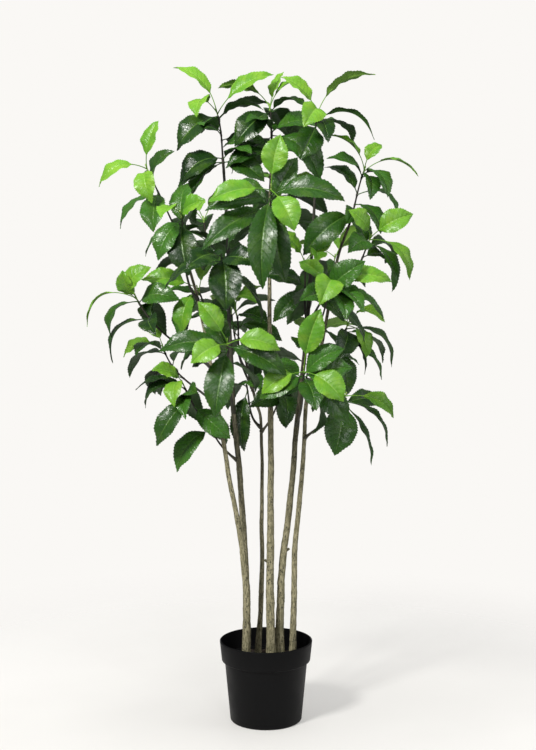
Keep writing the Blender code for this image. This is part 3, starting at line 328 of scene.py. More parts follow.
SPRAYS = [
    spray("top_left", "left_inner", 1.25, (-0.112, 0.05, 1.390), fill=3, away=55,
          young=[(0, 135, -5, 140, 42, 22, 4), (0, -160, 60, 90, 50, 38), (0, 35, 5, 155, 50, 16, 12)],
          mature=[(10, -140, 15, 125, 66, 25, 16), (10, 10, 10, 105, 55, 20, 0),
                  (50, 175, 65, 105, 42, 14), (110, -150, 15, 110, 68, 24, 16),
                  (110, 10, 50, 105, 45, 16, 0), (150, -130, 10, 120, 50, 16),
                  (165, -155, 15, 120, 54, 20, 12), (170, -25, 20, 110, 54, 20, 12)]),
    spray("top_middle", "centre", 1.27, (0.007, 0.05, 1.401), fill=3,
          young=[(0, 160, -5, 125, 38, 22, 0), (0, 70, -20, 95, 40, 6, 4), (0, 40, 5, 100, 45, 18)],
          mature=[(10, -135, 15, 120, 66, 20, 16), (10, 5, 40, 105, 48, 22),
                  (60, 165, 55, 105, 48, 16), (60, -5, -5, 125, 64, 20, 12),
                  (70, -45, 10, 155, 70, 25, 16), (80, -140, 0, 120, 58, 18, 10),
                  (95, -160, 15, 110, 54, 22, 12), (120, -155, 10, 115, 52, 18, 12),
                  (100, -20, 20, 110, 52, 18, 10)]),
    spray("top_right", "right_inner", 1.24, (0.114, 0.02, 1.383), fill=2,
          young=[(0, 135, 0, 115, 48, 14, 10), (0, -135, 60, 90, 56, 34), (0, 35, 5, 160, 42, 20, 0)],
          mature=[(10, -20, 10, 140, 36, 28, 0), (15, -55, 60, 105, 50, 22, 12),
                  (30, -115, 35, 105, 60, 18)]),
    spray("front_high", "centre", 1.06, (0.011, -0.26, 1.215), fill=2,
          young=[(0, 80, 5, 110, 55, 5), (0, -170, 15, 135, 50, 16), (0, -60, 30, 110, 58, 18)],
          mature=[(10, -5, 10, 155, 56, 18), (20, -95, 15, 200, 62, 12, 16), (25, -80, 0, 180, 56, 12),
                  (30, -170, 10, 140, 50, 14), (40, 60, -5, 110, 48, 10), (55, 145, -20, 105, 50, 16),
                  (60, -150, 20, 175, 54, 16)]),
    spray("right_high", "right", 1.1, (0.223, 0.05, 1.261), fill=0,
          young=[(0, 135, 0, 110, 45, 18, 4), (0, 55, -15, 75, 34, 30, 0), (0, -5, 10, 125, 46, 26, 3)],
          mature=[(10, -45, 45, 105, 50, 30), (10, 155, 30, 105, 46, 20, 7),
                  (20, -75, 60, 105, 44, 24), (60, 140, -25, 105, 46, 18, 9),
                  (60, -25, 15, 105, 46, 28, 4), (85, -50, 35, 105, 52, 22),
                  (105, -140, 10, 150, 66, 25, 16), (110, -135, 75, 105, 50, 20)]),
    spray("right_outer", "right", 0.95, (0.233, -0.02, 1.110), fill=2, away=115,
          young=[(0, 30, 10, 110, 54, 20, 16), (0, 140, 20, 90, 50, 16, 14),
                 (0, -45, 15, 130, 48, 28, 6)],
          mature=[(15, -65, 15, 125, 44, 26, 5), (15, -160, 60, 105, 52, 20),
                  (25, 140, -50, 105, 50, 12), (50, -15, -55, 105, 45, 20, 4)]),
    spray("front_right", "right_inner", 0.85, (0.133, -0.2, 1.014), fill=2,
          young=[(0, -120, 60, 90, 60, 38), (0, 5, 5, 135, 46, 22, 6), (0, 140, -25, 90, 42, 12)],
          mature=[(10, 40, 25, 105, 58, 20, 12), (25, -55, 55, 105, 48, 22, 2),
                  (25, -40, 35, 105, 46, 26, 2), (40, -20, 5, 130, 36, 28, 0),
                  (45, 175, 55, 105, 54, 20)]),
    spray("inner_right", "right_inner", 0.92, (0.085, 0.0, 1.056), fill=3,
          young=[(0, 110, 15, 90, 50, 10), (0, 55, -35, 90, 48, 14), (0, 15, 75, 90, 44, 30)],
          mature=[(65, -135, 15, 105, 42, 12, 12), (60, 165, 15, 105, 48, 16, 12),
                  (75, -35, 5, 110, 50, 18, 12)]),
    spray("left_high", "left_outer", 1.02, (-0.262, -0.05, 1.262), fill=0,
          young=[(0, 75, 5, 105, 46, 14), (0, -160, 10, 115, 44, 30), (0, -80, 40, 95, 50, 34)],
          mature=[(58, 85, 30, 115, 56, 22), (60, -95, 35, 105, 60, 14, 16),
                  (62, -140, 10, 115, 44, 22, 3)]),
    spray("left_upper", "left_outer", 0.97, (-0.185, -0.1, 1.162), fill=2, away=70,
          young=[(0, -165, 65, 90, 42, 20), (0, 30, 45, 90, 48, 14, 14)],
          mature=[(10, -120, 15, 105, 54, 20, 14), (15, -90, 30, 125, 66, 14, 16),
                  (20, -70, -30, 105, 50, 14), (25, -140, -10, 110, 34, 16, 0),
                  (30, 85, -25, 105, 52, 14)]),
    spray("front_left", "left_inner", 0.92, (-0.092, -0.25, 1.088), fill=3,
          mature=[(5, -85, 25, 125, 72, 12, 16), (5, 175, 55, 105, 50, 18), (25, -5, 35, 105, 52, 18)]),
    spray("left_middle", "left_outer", 0.82, (-0.293, 0.0, 0.978), fill=1, away=70,
          young=[(0, 60, 30, 90, 52, 34, 14), (0, -150, 10, 130, 30, 34, 0),
                 (0, 115, 30, 90, 44, 12, 12)],
          mature=[(10, -125, 15, 105, 50, 32, 3), (10, 5, 25, 105, 54, 24, 14),
                  (62, -130, 5, 130, 40, 32, 2), (62, 70, -65, 105, 40, 14, 2),
                  (70, -55, 75, 105, 48, 20)]),
    spray("inner_left", "left_inner", 0.86, (-0.155, 0.02, 0.995), fill=3,
          young=[(0, 170, 10, 130, 52, 16, 12), (0, -110, 25, 115, 50, 28, 14), (0, 70, -25, 90, 44, 12)],
          mature=[(10, -145, 75, 105, 50, 20), (30, -150, 40, 105, 50, 24)]),
    spray("inner_middle", "back", 0.8, (-0.071, 0.1, 0.940), fill=3,
          young=[(0, 85, 10, 95, 42, 8), (0, 20, 45, 90, 45, 40)],
          mature=[(15, -10, 45, 105, 50, 16), (35, -20, 5, 110, 50, 18, 12), (40, 165, 5, 105, 50, 18, 12)]),
    spray("front_low_left", "left_inner", 0.71, (-0.080, -0.25, 0.898), fill=2,
          young=[(0, 125, 5, 105, 46, 16, 4), (0, -155, 30, 95, 54, 22, 12), (0, -5, 15, 115, 50, 24)],
          mature=[(10, -25, 10, 140, 56, 20), (15, -100, 20, 150, 62, 12, 16),
                  (20, 180, 5, 145, 52, 18), (30, -155, -35, 105, 48, 14), (30, 120, -25, 105, 50, 12)]),
    spray("left_low", "left_outer", 0.66, (-0.186, -0.05, 0.788), fill=1,
          young=[(0, -110, 60, 90, 44, 32), (0, 150, 30, 90, 44, 16)],
          mature=[(10, -165, -10, 105, 44, 34, 4), (20, 180, -5, 115, 40, 24, 0),
                  (40, -125, 10, 130, 54, 20, 16), (30, -90, 65, 105, 38, 18),
                  (60, -40, 15, 110, 52, 16), (45, 20, 70, 105, 46, 16)]),
    spray("left_back", "left_outer", 0.73, (-0.240, 0.1, 0.857), fill=4,
          young=[(0, -165, 5, 95, 46, 24), (0, 115, -30, 90, 42, 12)],
          mature=[(10, 180, 55, 105, 50, 24)]),
    spray("front_low_right", "right_inner", 0.68, (0.079, -0.25, 0.840), fill=2,
          young=[(0, 75, 10, 135, 54, 5), (0, -35, 25, 110, 60, 18, 14), (0, -160, 20, 100, 48, 18)],
          mature=[(10, -160, 20, 105, 52, 18), (10, 35, 10, 105, 50, 16), (15, 5, 20, 105, 62, 16, 16),
                  (25, -45, 10, 135, 60, 14, 16), (20, -45, 55, 105, 54, 14, 16)]),
    spray("right_middle", "right", 0.78, (0.186, 0.0, 0.917), fill=2,
          young=[(0, 5, 25, 90, 42, 34, 6), (0, -60, 25, 90, 45, 30), (0, 100, -30, 90, 42, 12)],
          mature=[(10, -40, 5, 135, 44, 30, 3), (15, -100, 55, 105, 54, 20, 14),
                  (20, -65, -5, 110, 36, 14, 0), (40, -45, -10, 135, 42, 16, 4),
                  (60, -80, 5, 110, 50, 14, 14), (75, -105, 10, 110, 50, 14, 14)]),
    spray("right_low", "right", 0.655, (0.175, -0.1, 0.767), fill=0,
          young=[(0, -25, -5, 120, 44, 32)],
          mature=[(5, -100, 20, 125, 74, 12, 16), (10, -45, 5, 140, 32, 24, 0),
                  (20, -65, 0, 155, 32, 12, 0), (20, 0, -35, 105, 45, 18)]),
    spray("low_middle", "back", 0.67, (-0.050, 0.05, 0.785), fill=1,
          mature=[(30, -95, 20, 140, 50, 14, 16), (15, 55, 45, 105, 46, 14), (60, -5, 20, 105, 48, 16, 12)]),
    spray("low_left", "left_inner", 0.6, (-0.131, 0.0, 0.689), fill=0,
          mature=[(5, -130, 15, 125, 54, 24, 14), (20, -55, -60, 105, 50, 18)]),
    spray("low_right", "back", 0.66, (0.036, 0.0, 0.764), fill=1,
          mature=[(5, -70, 65, 105, 48, 22), (10, -170, 50, 105, 52, 20, 14), (5, 100, 10, 105, 48, 14, 12)]),
    spray("back_high", "centre", 1.03, (0.035, 0.265, 1.215), fill=7, all_round=True),
    spray("back_left", "left_inner", 0.98, (-0.150, 0.245, 1.150), fill=7, all_round=True),
    spray("back_right", "right_inner", 0.90, (0.165, 0.240, 1.060), fill=6, all_round=True),
    spray("back_middle", "back", 0.76, (-0.085, 0.270, 0.930), fill=6, all_round=True),
    spray("back_low", "right_inner", 0.70, (0.105, 0.245, 0.850), fill=6, all_round=True),
]


# Placement, the same rules as the solids


def smooth_point(line, share):
    """Point at a share of the way along a smooth curve through the line's points."""
    place = share * (len(line) - 1)
    index = min(int(place), len(line) - 2)
    t = place - index
    before = line[max(index - 1, 0)]
    start = line[index]
    end = line[index + 1]
    after = line[min(index + 2, len(line) - 1)]
    return 0.5 * (2 * start + (end - before) * t + (2 * before - 5 * start + 4 * end - after) * t * t
                  + (3 * start - before - 3 * end + after) * t * t * t)


def graded(first, last, steps):
    """Evenly spaced values from the first to the last."""
    return [first + (last - first) * step / steps for step in range(steps + 1)]


def tube_mesh(line, radii, sides):
    """Points and faces of a closed tube along a line, with flat ends."""
    tangents = []
    for index in range(len(line)):
        ahead = line[min(index + 1, len(line) - 1)]
        behind = line[max(index - 1, 0)]
        tangents.append((ahead - behind).normalized())
    across = tangents[0].orthogonal().normalized()
    points = []
    for centre, tangent, radius in zip(line, tangents, radii):
        across = (across - tangent * across.dot(tangent)).normalized()
        other = tangent.cross(across)
        for side in range(sides):
            angle = 2 * math.pi * side / sides
            points.append(centre + radius * (math.cos(angle) * across + math.sin(angle) * other))
    faces = []
    for ring in range(len(line) - 1):
        for side in range(sides):
            low = ring * sides + side
            low_next = ring * sides + (side + 1) % sides
            faces.append((low, low_next, low_next + sides, low + sides))
    last = (len(line) - 1) * sides
    faces.append(tuple(range(sides))[::-1])
    faces.append(tuple(range(last, last + sides)))
    return points, faces


def inner_radius(height):
    """Radius of the pot's inside under its band."""
    share = height / (POT_HEIGHT - BAND_HEIGHT)
    return BASE_RADIUS + (BODY_TOP_RADIUS - BASE_RADIUS) * share - POT_WALL


def pot_profile():
    """Radius and height round the pot's wall: under it, up the outside, over the lip and down the inside."""
    band = POT_HEIGHT - BAND_HEIGHT
    band_radius = RIM_RADIUS - BAND_TAPER
    floor_top = FOOT_HEIGHT + POT_WALL
    foot_inside = BASE_RADIUS - FOOT_WIDTH
    return [
        (0, 0),
        (PAD_RADIUS, 0),
        (PAD_RADIUS + BASE_CHAMFER, FOOT_HEIGHT),
        (foot_inside - BASE_CHAMFER, FOOT_HEIGHT),
        (foot_inside, 0),
        (BASE_RADIUS - BASE_CHAMFER, 0),
        (BASE_RADIUS, BASE_CHAMFER),
        (BODY_TOP_RADIUS, band - BAND_LEDGE),
        (band_radius - LIP_ROUND, band),
        (band_radius, band + LIP_ROUND),
        (RIM_RADIUS, POT_HEIGHT - LIP_ROUND),
        (RIM_RADIUS - LIP_ROUND, POT_HEIGHT),
        (RIM_RADIUS - POT_WALL - LIP_ROUND, POT_HEIGHT),
        (band_radius - POT_WALL, band + BAND_LEDGE),
        (inner_radius(band), band),
        (inner_radius(floor_top), floor_top),
        (0, floor_top),
    ]


def stem_radii(stem, line):
    """A stem's radii without its flare: even up to its second point, then thinner towards its top."""
    foot = stem["foot"] * MILLI
    top = stem["top"] * MILLI
    low = Vector(stem["line"][1]).z
    height = line[-1].z - low
    return [top + (foot - top) * (1 - max(0.0, (point.z - low) / height)) ** STEM_TAPER for point in line]


def stem_line(stem):
    """Centre line and radii of a stem, which is thickest at its flared foot."""
    guide = [Vector(p) for p in stem["line"]]
    line = [guide[0], guide[1]]
    line += [smooth_point(guide[1:], (step + 1) / STEM_STEPS) for step in range(STEM_STEPS)]
    radii = stem_radii(stem, line)
    flare = 1 + FLARE
    return line, [radii[0] * flare, radii[1] * flare] + radii[2:]


def at_height(line, height):
    """Point and direction of a line where it reaches a height."""
    for low, high in zip(line, line[1:]):
        if high.z >= height:
            share = (height - low.z) / (high.z - low.z)
            return low.lerp(high, share), (high - low).normalized()
    return line[-1], (line[-1] - line[-2]).normalized()


def branch_curve(plan, stem_points):
    """Smooth guide from the stem to the spray's tip, rising at first and turning up at the end."""
    top = stem_points[-1].z
    at_top = plan["at"] >= top - TOP_ZONE
    start, along = at_height(stem_points, top if at_top else plan["at"])
    tip = plan["tip"]
    reach = (tip - start).length
    outward = Vector((tip.x - start.x, tip.y - start.y, 0)).normalized()
    leave = along if at_top else (LEAVE_ALONG * along + LEAVE_OUTWARD * outward).normalized()
    arrive = (ARRIVE_OUTWARD * outward + ARRIVE_UP * Vector((0, 0, 1))).normalized()
    first = start + CURVE_PULL * reach * leave
    second = tip - CURVE_PULL * reach * arrive
    return start, first, second, tip, at_top


def bezier(curve, share):
    start, first, second, tip = curve[:4]
    rest = 1 - share
    return (rest ** 3 * start + 3 * rest * rest * share * first
            + 3 * rest * share * share * second + share ** 3 * tip)


def curve_points(curve, start, end, steps):
    return [bezier(curve, share) for share in graded(start, end, steps)]


def below_tip(curve, distance):
    """Point on the curve at a distance before its end."""
    walked = 0.0
    last = bezier(curve, 1.0)
    for step in range(1, WALK_STEPS):
        point = bezier(curve, 1 - step / WALK_STEPS)
        walked += (point - last).length
        last = point
        if walked >= distance:
            break
    return last


def twig_end(curve):
    """The share of the way along the curve where the twig ends and its shoot begins."""
    return 1 - SHOOT_LENGTH / (curve[3] - curve[0]).length


def twig_line(curve):
    """Centre line and radii of the spray's own twig, from its socket to just under its young shoot."""
    line = curve_points(curve, 0.0 if curve[4] else BRANCH_SHARE, twig_end(curve), TWIG_STEPS)
    line[0] = line[0] + (line[1] - line[0]).normalized() * JOINT_GAP
    return line, graded(TWIG_RADIUS, TWIG_END_RADIUS, TWIG_STEPS)


def shoot_line(curve):
    """The pale end of the twig, which carries the young leaves."""
    low = bezier(curve, twig_end(curve))
    start = low + (curve[3] - low).normalized() * GAP
    return [start, curve[3]], [SHOOT_RADIUS, SHOOT_TIP_SHARE * SHOOT_RADIUS]


def branch_line(curve):
    line = curve_points(curve, 0.0, BRANCH_SHARE, BRANCH_STEPS)
    return line, graded(BRANCH_RADIUS, SOCKET_RADIUS, BRANCH_STEPS)


def aim(clock, lean):
    clock = math.radians(clock)
    lean = math.radians(lean)
    return Vector((math.cos(clock) * math.cos(lean), -math.sin(lean), math.sin(clock) * math.cos(lean)))


def rising(angle, rise):
    return Vector((math.cos(rise) * math.cos(angle), math.cos(rise) * math.sin(angle), math.sin(rise)))


def leaf_pose(kind, root, heading, length, width, arch, sweep, sky):
    """Where a leaf lies: its heading, the way its upper face looks, and its size."""
    up = (sky - heading * sky.dot(heading)).normalized()
    return dict(kind=kind, root=root, heading=heading, up=up, side=heading.cross(up), length=length,
                width=width, arch=arch, sweep=sweep)


def midrib(pose, share):
    """Point, side and face direction on a leaf's midrib, from its root to its tip."""
    bow = 4 * share * (1 - share)
    slope = 4 * (1 - 2 * share)
    bend = pose["arch"] * pose["up"] + pose["sweep"] * pose["side"]
    point = pose["root"] + pose["length"] * (share * pose["heading"] + bow * bend)
    tangent = (pose["heading"] + slope * bend).normalized()
    side = tangent.cross(pose["up"]).normalized()
    return point, side, side.cross(tangent)


def blade_half_width(share):
    """Half width of a blade over its widest, along its length."""
    return math.sin(math.pi * share ** BLADE_SKEW) ** BLADE_FULLNESS


def leaf_mesh(pose, extra=0.0):
    """Points and faces of a leaf: a stalk that widens into a folded, toothed blade.

    extra thickens and widens it, for the test that it is clear of its neighbours.
    """
    stalk = STALK_SHARE[pose["kind"]]
    stalk_radius = STALK_RADIUS[pose["kind"]] + extra
    fold = math.radians(FOLD_DEGREES)
    point, side, face = midrib(pose, 0.0)
    root_radius = ROOT_SHARE * stalk_radius
    points = [point + root_radius * face, point + root_radius * (ROOT_SPREAD * side - ROOT_DROP * face),
              point - root_radius * (ROOT_SPREAD * side + ROOT_DROP * face)]
    point, side, face = midrib(pose, stalk)
    points += [point + STALK_SPREAD * stalk_radius * side, point - STALK_SPREAD * stalk_radius * side,
               point + stalk_radius * face, point - stalk_radius * face]
    for share in MIDRIB_SHARES[1:]:
        point, side, face = midrib(pose, stalk + (1 - stalk) * share)
        half_thickness = 0.5 * LEAF_THICKNESS * (THICKEST - THINNING * share) + extra
        points.extend([point + half_thickness * face, point - half_thickness * face])
    edges = {1: [], -1: []}
    for hand in (1, -1):
        for index, share in enumerate(EDGE_SHARES):
            point, side, face = midrib(pose, stalk + (1 - stalk) * share)
            tooth = 1 + TOOTH * (1 if index % 2 else -1)
            half = 0.5 * pose["width"] * blade_half_width(share) * tooth + 2 * extra
            wave = EDGE_WAVE * (1 if (index + (hand > 0)) % 2 else -1)
            edges[hand].append(len(points))
            points.append(point + hand * half * math.cos(fold) * side + (half * math.sin(fold) + wave) * face)
    tip = len(points)
    end, side, face = midrib(pose, 1.0)
    points.append(end + 2 * extra * face.cross(side))
    return points, leaf_faces(edges, tip)


def leaf_faces(edges, tip):
    """Faces of leaf_mesh: a three-sided stalk, then both faces of the blade in matching triangles."""
    root_top, root_right, root_left, right, left, upper, lower = range(STALK_POINTS)
    faces = [
        (root_top, root_right, root_left),
        (root_top, root_right, right),
        (root_top, right, upper),
        (root_top, root_left, left),
        (root_top, left, upper),
        (root_right, root_left, lower),
        (root_left, left, lower),
        (root_right, right, lower),
    ]
    for first in (upper, lower):
        centre = [first] + [first + 2 * index for index in range(1, len(MIDRIB_SHARES))] + [tip]
        for start, rim in ((right, edges[1]), (left, edges[-1])):
            faces += strip(centre, [*MIDRIB_SHARES, 1.0], [start, *rim, tip], [0.0, *EDGE_SHARES, 1.0])
    return faces


def strip(centre, centre_at, rim, rim_at):
    """Triangles between a leaf's midrib and its edge, which meet at the tip."""
    faces = []
    i = j = 0
    while i < len(centre) - 2 or j < len(rim) - 2:
        if j == len(rim) - 2 or (i < len(centre) - 2 and centre_at[i + 1] < rim_at[j + 1]):
            faces.append((centre[i], centre[i + 1], rim[j]))
            i += 1
        else:
            faces.append((centre[i], rim[j], rim[j + 1]))
            j += 1
    faces.append((centre[i], rim[j], rim[-1]))
    return faces


class Crowd:
    """What is already placed: each piece as a search tree, with the node that it belongs to."""

    def __init__(self):
        self.things = []

    def measure(self, points, faces, blade):
        low = [min(p[axis] for p in points) for axis in range(3)]
        high = [max(p[axis] for p in points) for axis in range(3)]
        tree = BVHTree.FromPolygons([tuple(p) for p in points], faces)
        return low, high, tree, BVHTree.FromPolygons(*blade) if blade else None

    def add(self, node, points, faces, blade=None):
        self.things.append((node, *self.measure(points, faces, blade)))

    def hit(self, node, points, faces, blade):
        """Whether a shape meets another node's piece, or its blade meets a blade of its own node."""
        low, high, tree, own = self.measure(points, faces, blade)
        for other, other_low, other_high, other_tree, other_own in self.things:
            if any(low[axis] > other_high[axis] or high[axis] < other_low[axis] for axis in range(3)):
                continue
            if other != node and tree.overlap(other_tree):
                return True
            if other == node and other_own and own.overlap(other_own):
                return True
        return False


def blade_only(points, faces):
    """A leaf without its stalk, for the test against leaves of its own spray."""
    return [tuple(p) for p in points], [face for face in faces if min(face) >= STALK_POINTS]


def tries():
    """Small turns of a leaf, nearest first, as (clock, lean) in degrees, then the same on smaller leaves."""
    turns = [(0, 0)]
    for ring in range(1, TRY_RINGS + 1):
        for index in range(TRY_AROUND):
            angle = math.radians(360 * index / TRY_AROUND + TRY_TWIST * ring)
            turns.append((ring * TRY_STEP * math.cos(angle), ring * TRY_STEP * math.sin(angle)))
    return [(turn, shrink) for shrink in SHRINKS for turn in turns]


TRIES = tries()


def place_leaf(crowd, node, kind, root, heading, length, width, arch, sweep, sky):
    """The leaf's pose, turned or shrunk just enough to be clear, or None where there is no room."""
    across = heading.cross(Vector((0, 0, 1)))
    if across.length < NEARLY_UPRIGHT:
        across = heading.cross(Vector((0, 1, 0)))
    across.normalize()
    lift = across.cross(heading)
    for (turn, raise_), shrink in TRIES:
        bent = Matrix.Rotation(math.radians(turn), 3, lift) @ heading
        bent = Matrix.Rotation(math.radians(raise_), 3, across) @ bent
        pose = leaf_pose(kind, root, bent, length * shrink, width * shrink, arch, sweep, sky)
        points, faces = leaf_mesh(pose, CLEARANCE)
        if not crowd.hit(node, points, faces, blade_only(points, faces)):
            points, faces = leaf_mesh(pose)
            crowd.add(node, points, faces, blade_only(points, faces))
            return pose
    return None


def fill_leaves(plan, rng):
    """Mature leaves placed by rule round a spray: each turns on from the last by the golden angle."""
    outward = math.atan2(plan["tip"].y, plan["tip"].x)
    turn = rng.uniform(0, 360)
    rows = []
    for index in range(plan["fill"]):
        turn += GOLDEN_ANGLE
        if plan["all_round"]:
            angle = math.radians(turn)
        else:
            angle = math.radians(plan["away"] + FAR_SIDE_SPREAD * math.sin(math.radians(turn)))
        levels = ALL_ROUND_LEVELS if plan["all_round"] else FILL_LEVELS
        down = levels[index % len(levels)]
        rise = math.radians(rng.uniform(*FILL_RISE) - FILL_RISE_PER_MM * down)
        outward_push = FILL_OUTWARD * Vector((math.cos(outward), math.sin(outward), 0))
        heading = (rising(angle, rise) + outward_push).normalized()
        rows.append((down, heading, rng.uniform(*MATURE_LENGTH), rng.uniform(*MATURE_WIDTH),
                     rng.uniform(*FILL_ARCH), 0.0))
    return rows


def young_by_rule(plan, rng):
    """Young leaves in a rising whorl, for a spray that faces away."""
    turn = rng.uniform(0, 360)
    rows = []
    for index in range(WHORL):
        angle = math.radians(turn + 360 * index / WHORL + rng.uniform(-WHORL_STRAY, WHORL_STRAY))
        rise = math.radians(rng.uniform(*WHORL_RISE))
        rows.append((0, rising(angle, rise), rng.uniform(*YOUNG_LENGTH), rng.uniform(*YOUNG_WIDTH),
                     rng.uniform(*WHORL_ARCH), 0.0))
    return rows


def planned_rows(rows):
    leaves = []
    for down, clock, lean, length, width, arch, *facing in rows:
        turn = (facing[0] if facing else FACING) / 10
        leaves.append((down, aim(clock, lean), length * MILLI, width * MILLI, arch / 100, turn))
    return leaves


def free_offset(taken, offset):
    """Moves a leaf's root down its twig until it is clear of the roots already there."""
    while any(abs(offset - other) < ROOTS_APART for other in taken):
        offset += ROOT_SPACING
    taken.append(offset)
    return offset


def plan_leaves(crowd, curves):
    """Every leaf's pose, by node. Those read from the front come first, then those placed by rule."""
    poses = {}
    taken = {}
    jobs = []
    for plan in SPRAYS:
        jobs.append((plan, "young", planned_rows(plan["young"])))
        jobs.append((plan, "mature", planned_rows(plan["mature"])))
    for plan in SPRAYS:
        rng = random.Random(plan["name"])
        if plan["all_round"]:
            jobs.append((plan, "young", young_by_rule(plan, rng)))
        jobs.append((plan, "mature", fill_leaves(plan, rng)))
    for plan, kind, rows in jobs:
        curve = curves[plan["name"]]
        node = kind + "_" + plan["name"]
        rng = random.Random(node)
        for down, heading, length, width, arch, facing in rows:
            offset = free_offset(taken.setdefault(node, []), max(FIRST_LEAF[kind], down * MILLI))
            root = below_tip(curve, offset)
            outward = Vector((root.x, root.y, 0)).normalized()
            sky = Vector((0, -facing, 1)) + OUTWARD_SHARE * outward
            sweep = rng.uniform(-SWEEP, SWEEP)
            pose = place_leaf(crowd, node, kind, root, heading, length, width, arch, sweep, sky)
            if pose:
                poses.setdefault(node, []).append(pose)
    return poses


def crowd_of_wood(curves):
    crowd = Crowd()
    for name, stem in STEMS.items():
        crowd.add("stem_" + name, *tube_mesh(*stem_line(stem), STEM_SIDES))
    for plan in SPRAYS:
        curve = curves[plan["name"]]
        if not curve[4]:
            crowd.add("stem_" + plan["stem"], *tube_mesh(*branch_line(curve), BRANCH_SIDES))
        crowd.add("mature_" + plan["name"], *tube_mesh(*twig_line(curve), TWIG_SIDES))
        crowd.add("young_" + plan["name"], *tube_mesh(*shoot_line(curve), TWIG_SIDES))
    return crowd


# Fine shapes: rings of points, lofted into closed skins


class Skin:
    """Points and faces of one piece, gathered shell by shell, with what its materials need to know."""

    def __init__(self):
        self.points = []
        self.faces = []
        self.place = []
        self.under = []
        self.finish = []
        self.count = 0

    def loft(self, rings, start, end, place, under=None, finish=0):
        """Adds a closed shell through rings of points, with a point at each end."""
        steps, sides = rings.shape[:2]
        points = np.concatenate([rings.reshape(-1, 3), [start, end]])
        ring = np.arange(steps - 1)[:, None] * sides
        side = np.arange(sides)[None, :]
        after = (side + 1) % sides
        walls = np.stack([ring + side, ring + after, ring + sides + after, ring + sides + side], axis=-1)
        first = np.full(sides, steps * sides)
        last = (steps - 1) * sides
        none = np.full(sides, -1)
        side = side[0]
        after = after[0]
        head = np.stack([after, side, first, none], axis=-1)
        tail = np.stack([last + side, last + after, first + 1, none], axis=-1)
        self.points.append(points)
        faces = np.concatenate([walls.reshape(-1, 4), head, tail])
        self.faces.append(np.where(faces < 0, faces, faces + self.count))
        ends = place.reshape(steps, sides, 3)[[0, -1]].mean(axis=1)
        self.place.append(np.concatenate([place.reshape(-1, 3), ends]))
        flags = np.zeros(sides) if under is None else under
        self.under.append(np.concatenate([np.tile(flags, steps - 1), flags, flags]))
        self.finish.append(np.full((steps + 1) * sides, finish))
        self.count += len(points)

    def build(self, name, finishes):
        """The object, smooth but for edges sharper than a leaf's rim."""
        points = np.concatenate(self.points)
        faces = np.concatenate(self.faces)
        sizes = (faces >= 0).sum(axis=1)
        corners = faces[faces >= 0]
        mesh = bpy.data.meshes.new(name)
        mesh.vertices.add(len(points))
        mesh.vertices.foreach_set("co", points.astype(np.float32).ravel())
        mesh.loops.add(len(corners))
        mesh.loops.foreach_set("vertex_index", corners.astype(np.int32))
        mesh.polygons.add(len(faces))
        mesh.polygons.foreach_set("loop_start", (np.cumsum(sizes) - sizes).astype(np.int32))
        mesh.polygons.foreach_set("material_index", np.concatenate(self.finish).astype(np.int32))
        mesh.polygons.foreach_set("use_smooth", np.ones(len(faces), bool))
        mesh.update(calc_edges=True)
        place = mesh.attributes.new("place", "FLOAT_VECTOR", "POINT")
        place.data.foreach_set("vector", np.concatenate(self.place).astype(np.float32).ravel())
        under = mesh.attributes.new("under", "FLOAT", "FACE")
        under.data.foreach_set("value", np.concatenate(self.under).astype(np.float32))
        mesh.set_sharp_from_angle(angle=math.radians(SHARP_DEGREES))
        for finish in finishes:
            mesh.materials.append(finish)
        return put(name, mesh)


def put(name, data, place=(0, 0, 0)):
    """A new object in the scene."""
    made = bpy.data.objects.new(name, data)
    made.location = place
    bpy.context.scene.collection.objects.link(made)
    return made


def row(vector):
    return np.array(vector, float)


def unit(vectors):
    return vectors / np.linalg.norm(vectors, axis=-1, keepdims=True)


def smooth_step(low, high, value):
    share = np.clip((value - low) / (high - low), 0, 1)
    return share * share * (3 - 2 * share)


def smooth_max(first, second):
    return (first ** 3 + second ** 3) ** (1 / 3)


def within(share, rise, fall):
    """Rises from 0 to 1 over one pair of shares and falls back over another."""
    return smooth_step(*rise, share) * (1 - smooth_step(*fall, share))


def tube_rings(line, radii):
    """Rings round a line. radii holds one row per ring and one column per side."""
    line = np.array([tuple(p) for p in line])
    steps, sides = radii.shape
    ahead = line[np.minimum(np.arange(steps) + 1, steps - 1)]
    behind = line[np.maximum(np.arange(steps) - 1, 0)]
    tangents = unit(ahead - behind)
    across = row(Vector(tangents[0]).orthogonal().normalized())
    angles = 2 * np.pi * np.arange(sides) / sides
    rings = np.empty((steps, sides, 3))
    for index in range(steps):
        tangent = tangents[index]
        across = unit(across - tangent * across.dot(tangent))
        other = np.cross(tangent, across)
        spokes = np.cos(angles)[:, None] * across + np.sin(angles)[:, None] * other
        rings[index] = line[index] + radii[index][:, None] * spokes
    return rings, tangents


def add_tube(skin, line, radii, finish=0, tone=0.5, blunt=0.5):
    """A closed round tube whose ends bulge a little. Its place attribute is (along, 0, tone)."""
    rings, tangents = tube_rings(line, radii)
    steps, sides = radii.shape
    start = row(line[0]) - tangents[0] * radii[0].mean() * blunt
    end = row(line[-1]) + tangents[-1] * radii[-1].mean() * blunt
    place = np.zeros((steps, sides, 3))
    place[:, :, 0] = np.linspace(0, 1, steps)[:, None]
    place[:, :, 2] = tone
    skin.loft(rings, start, end, place, finish=finish)


def walked(line):
    """How far along the line each of its points is."""
    points = np.array([tuple(p) for p in line])
    return np.concatenate([[0], np.cumsum(np.linalg.norm(np.diff(points, axis=0), axis=1))])


# Leaves


def fine_outline(share):
    """Half width of a fine blade over its widest: the solid's, with a drawn-out tip."""
    body = np.sin(np.pi * np.clip(share, 1e-6, 1) ** BLADE_SKEW) ** BLADE_FULLNESS
    return body * (1 - TIP_PINCH * smooth_step(*TIP_ZONE, share))


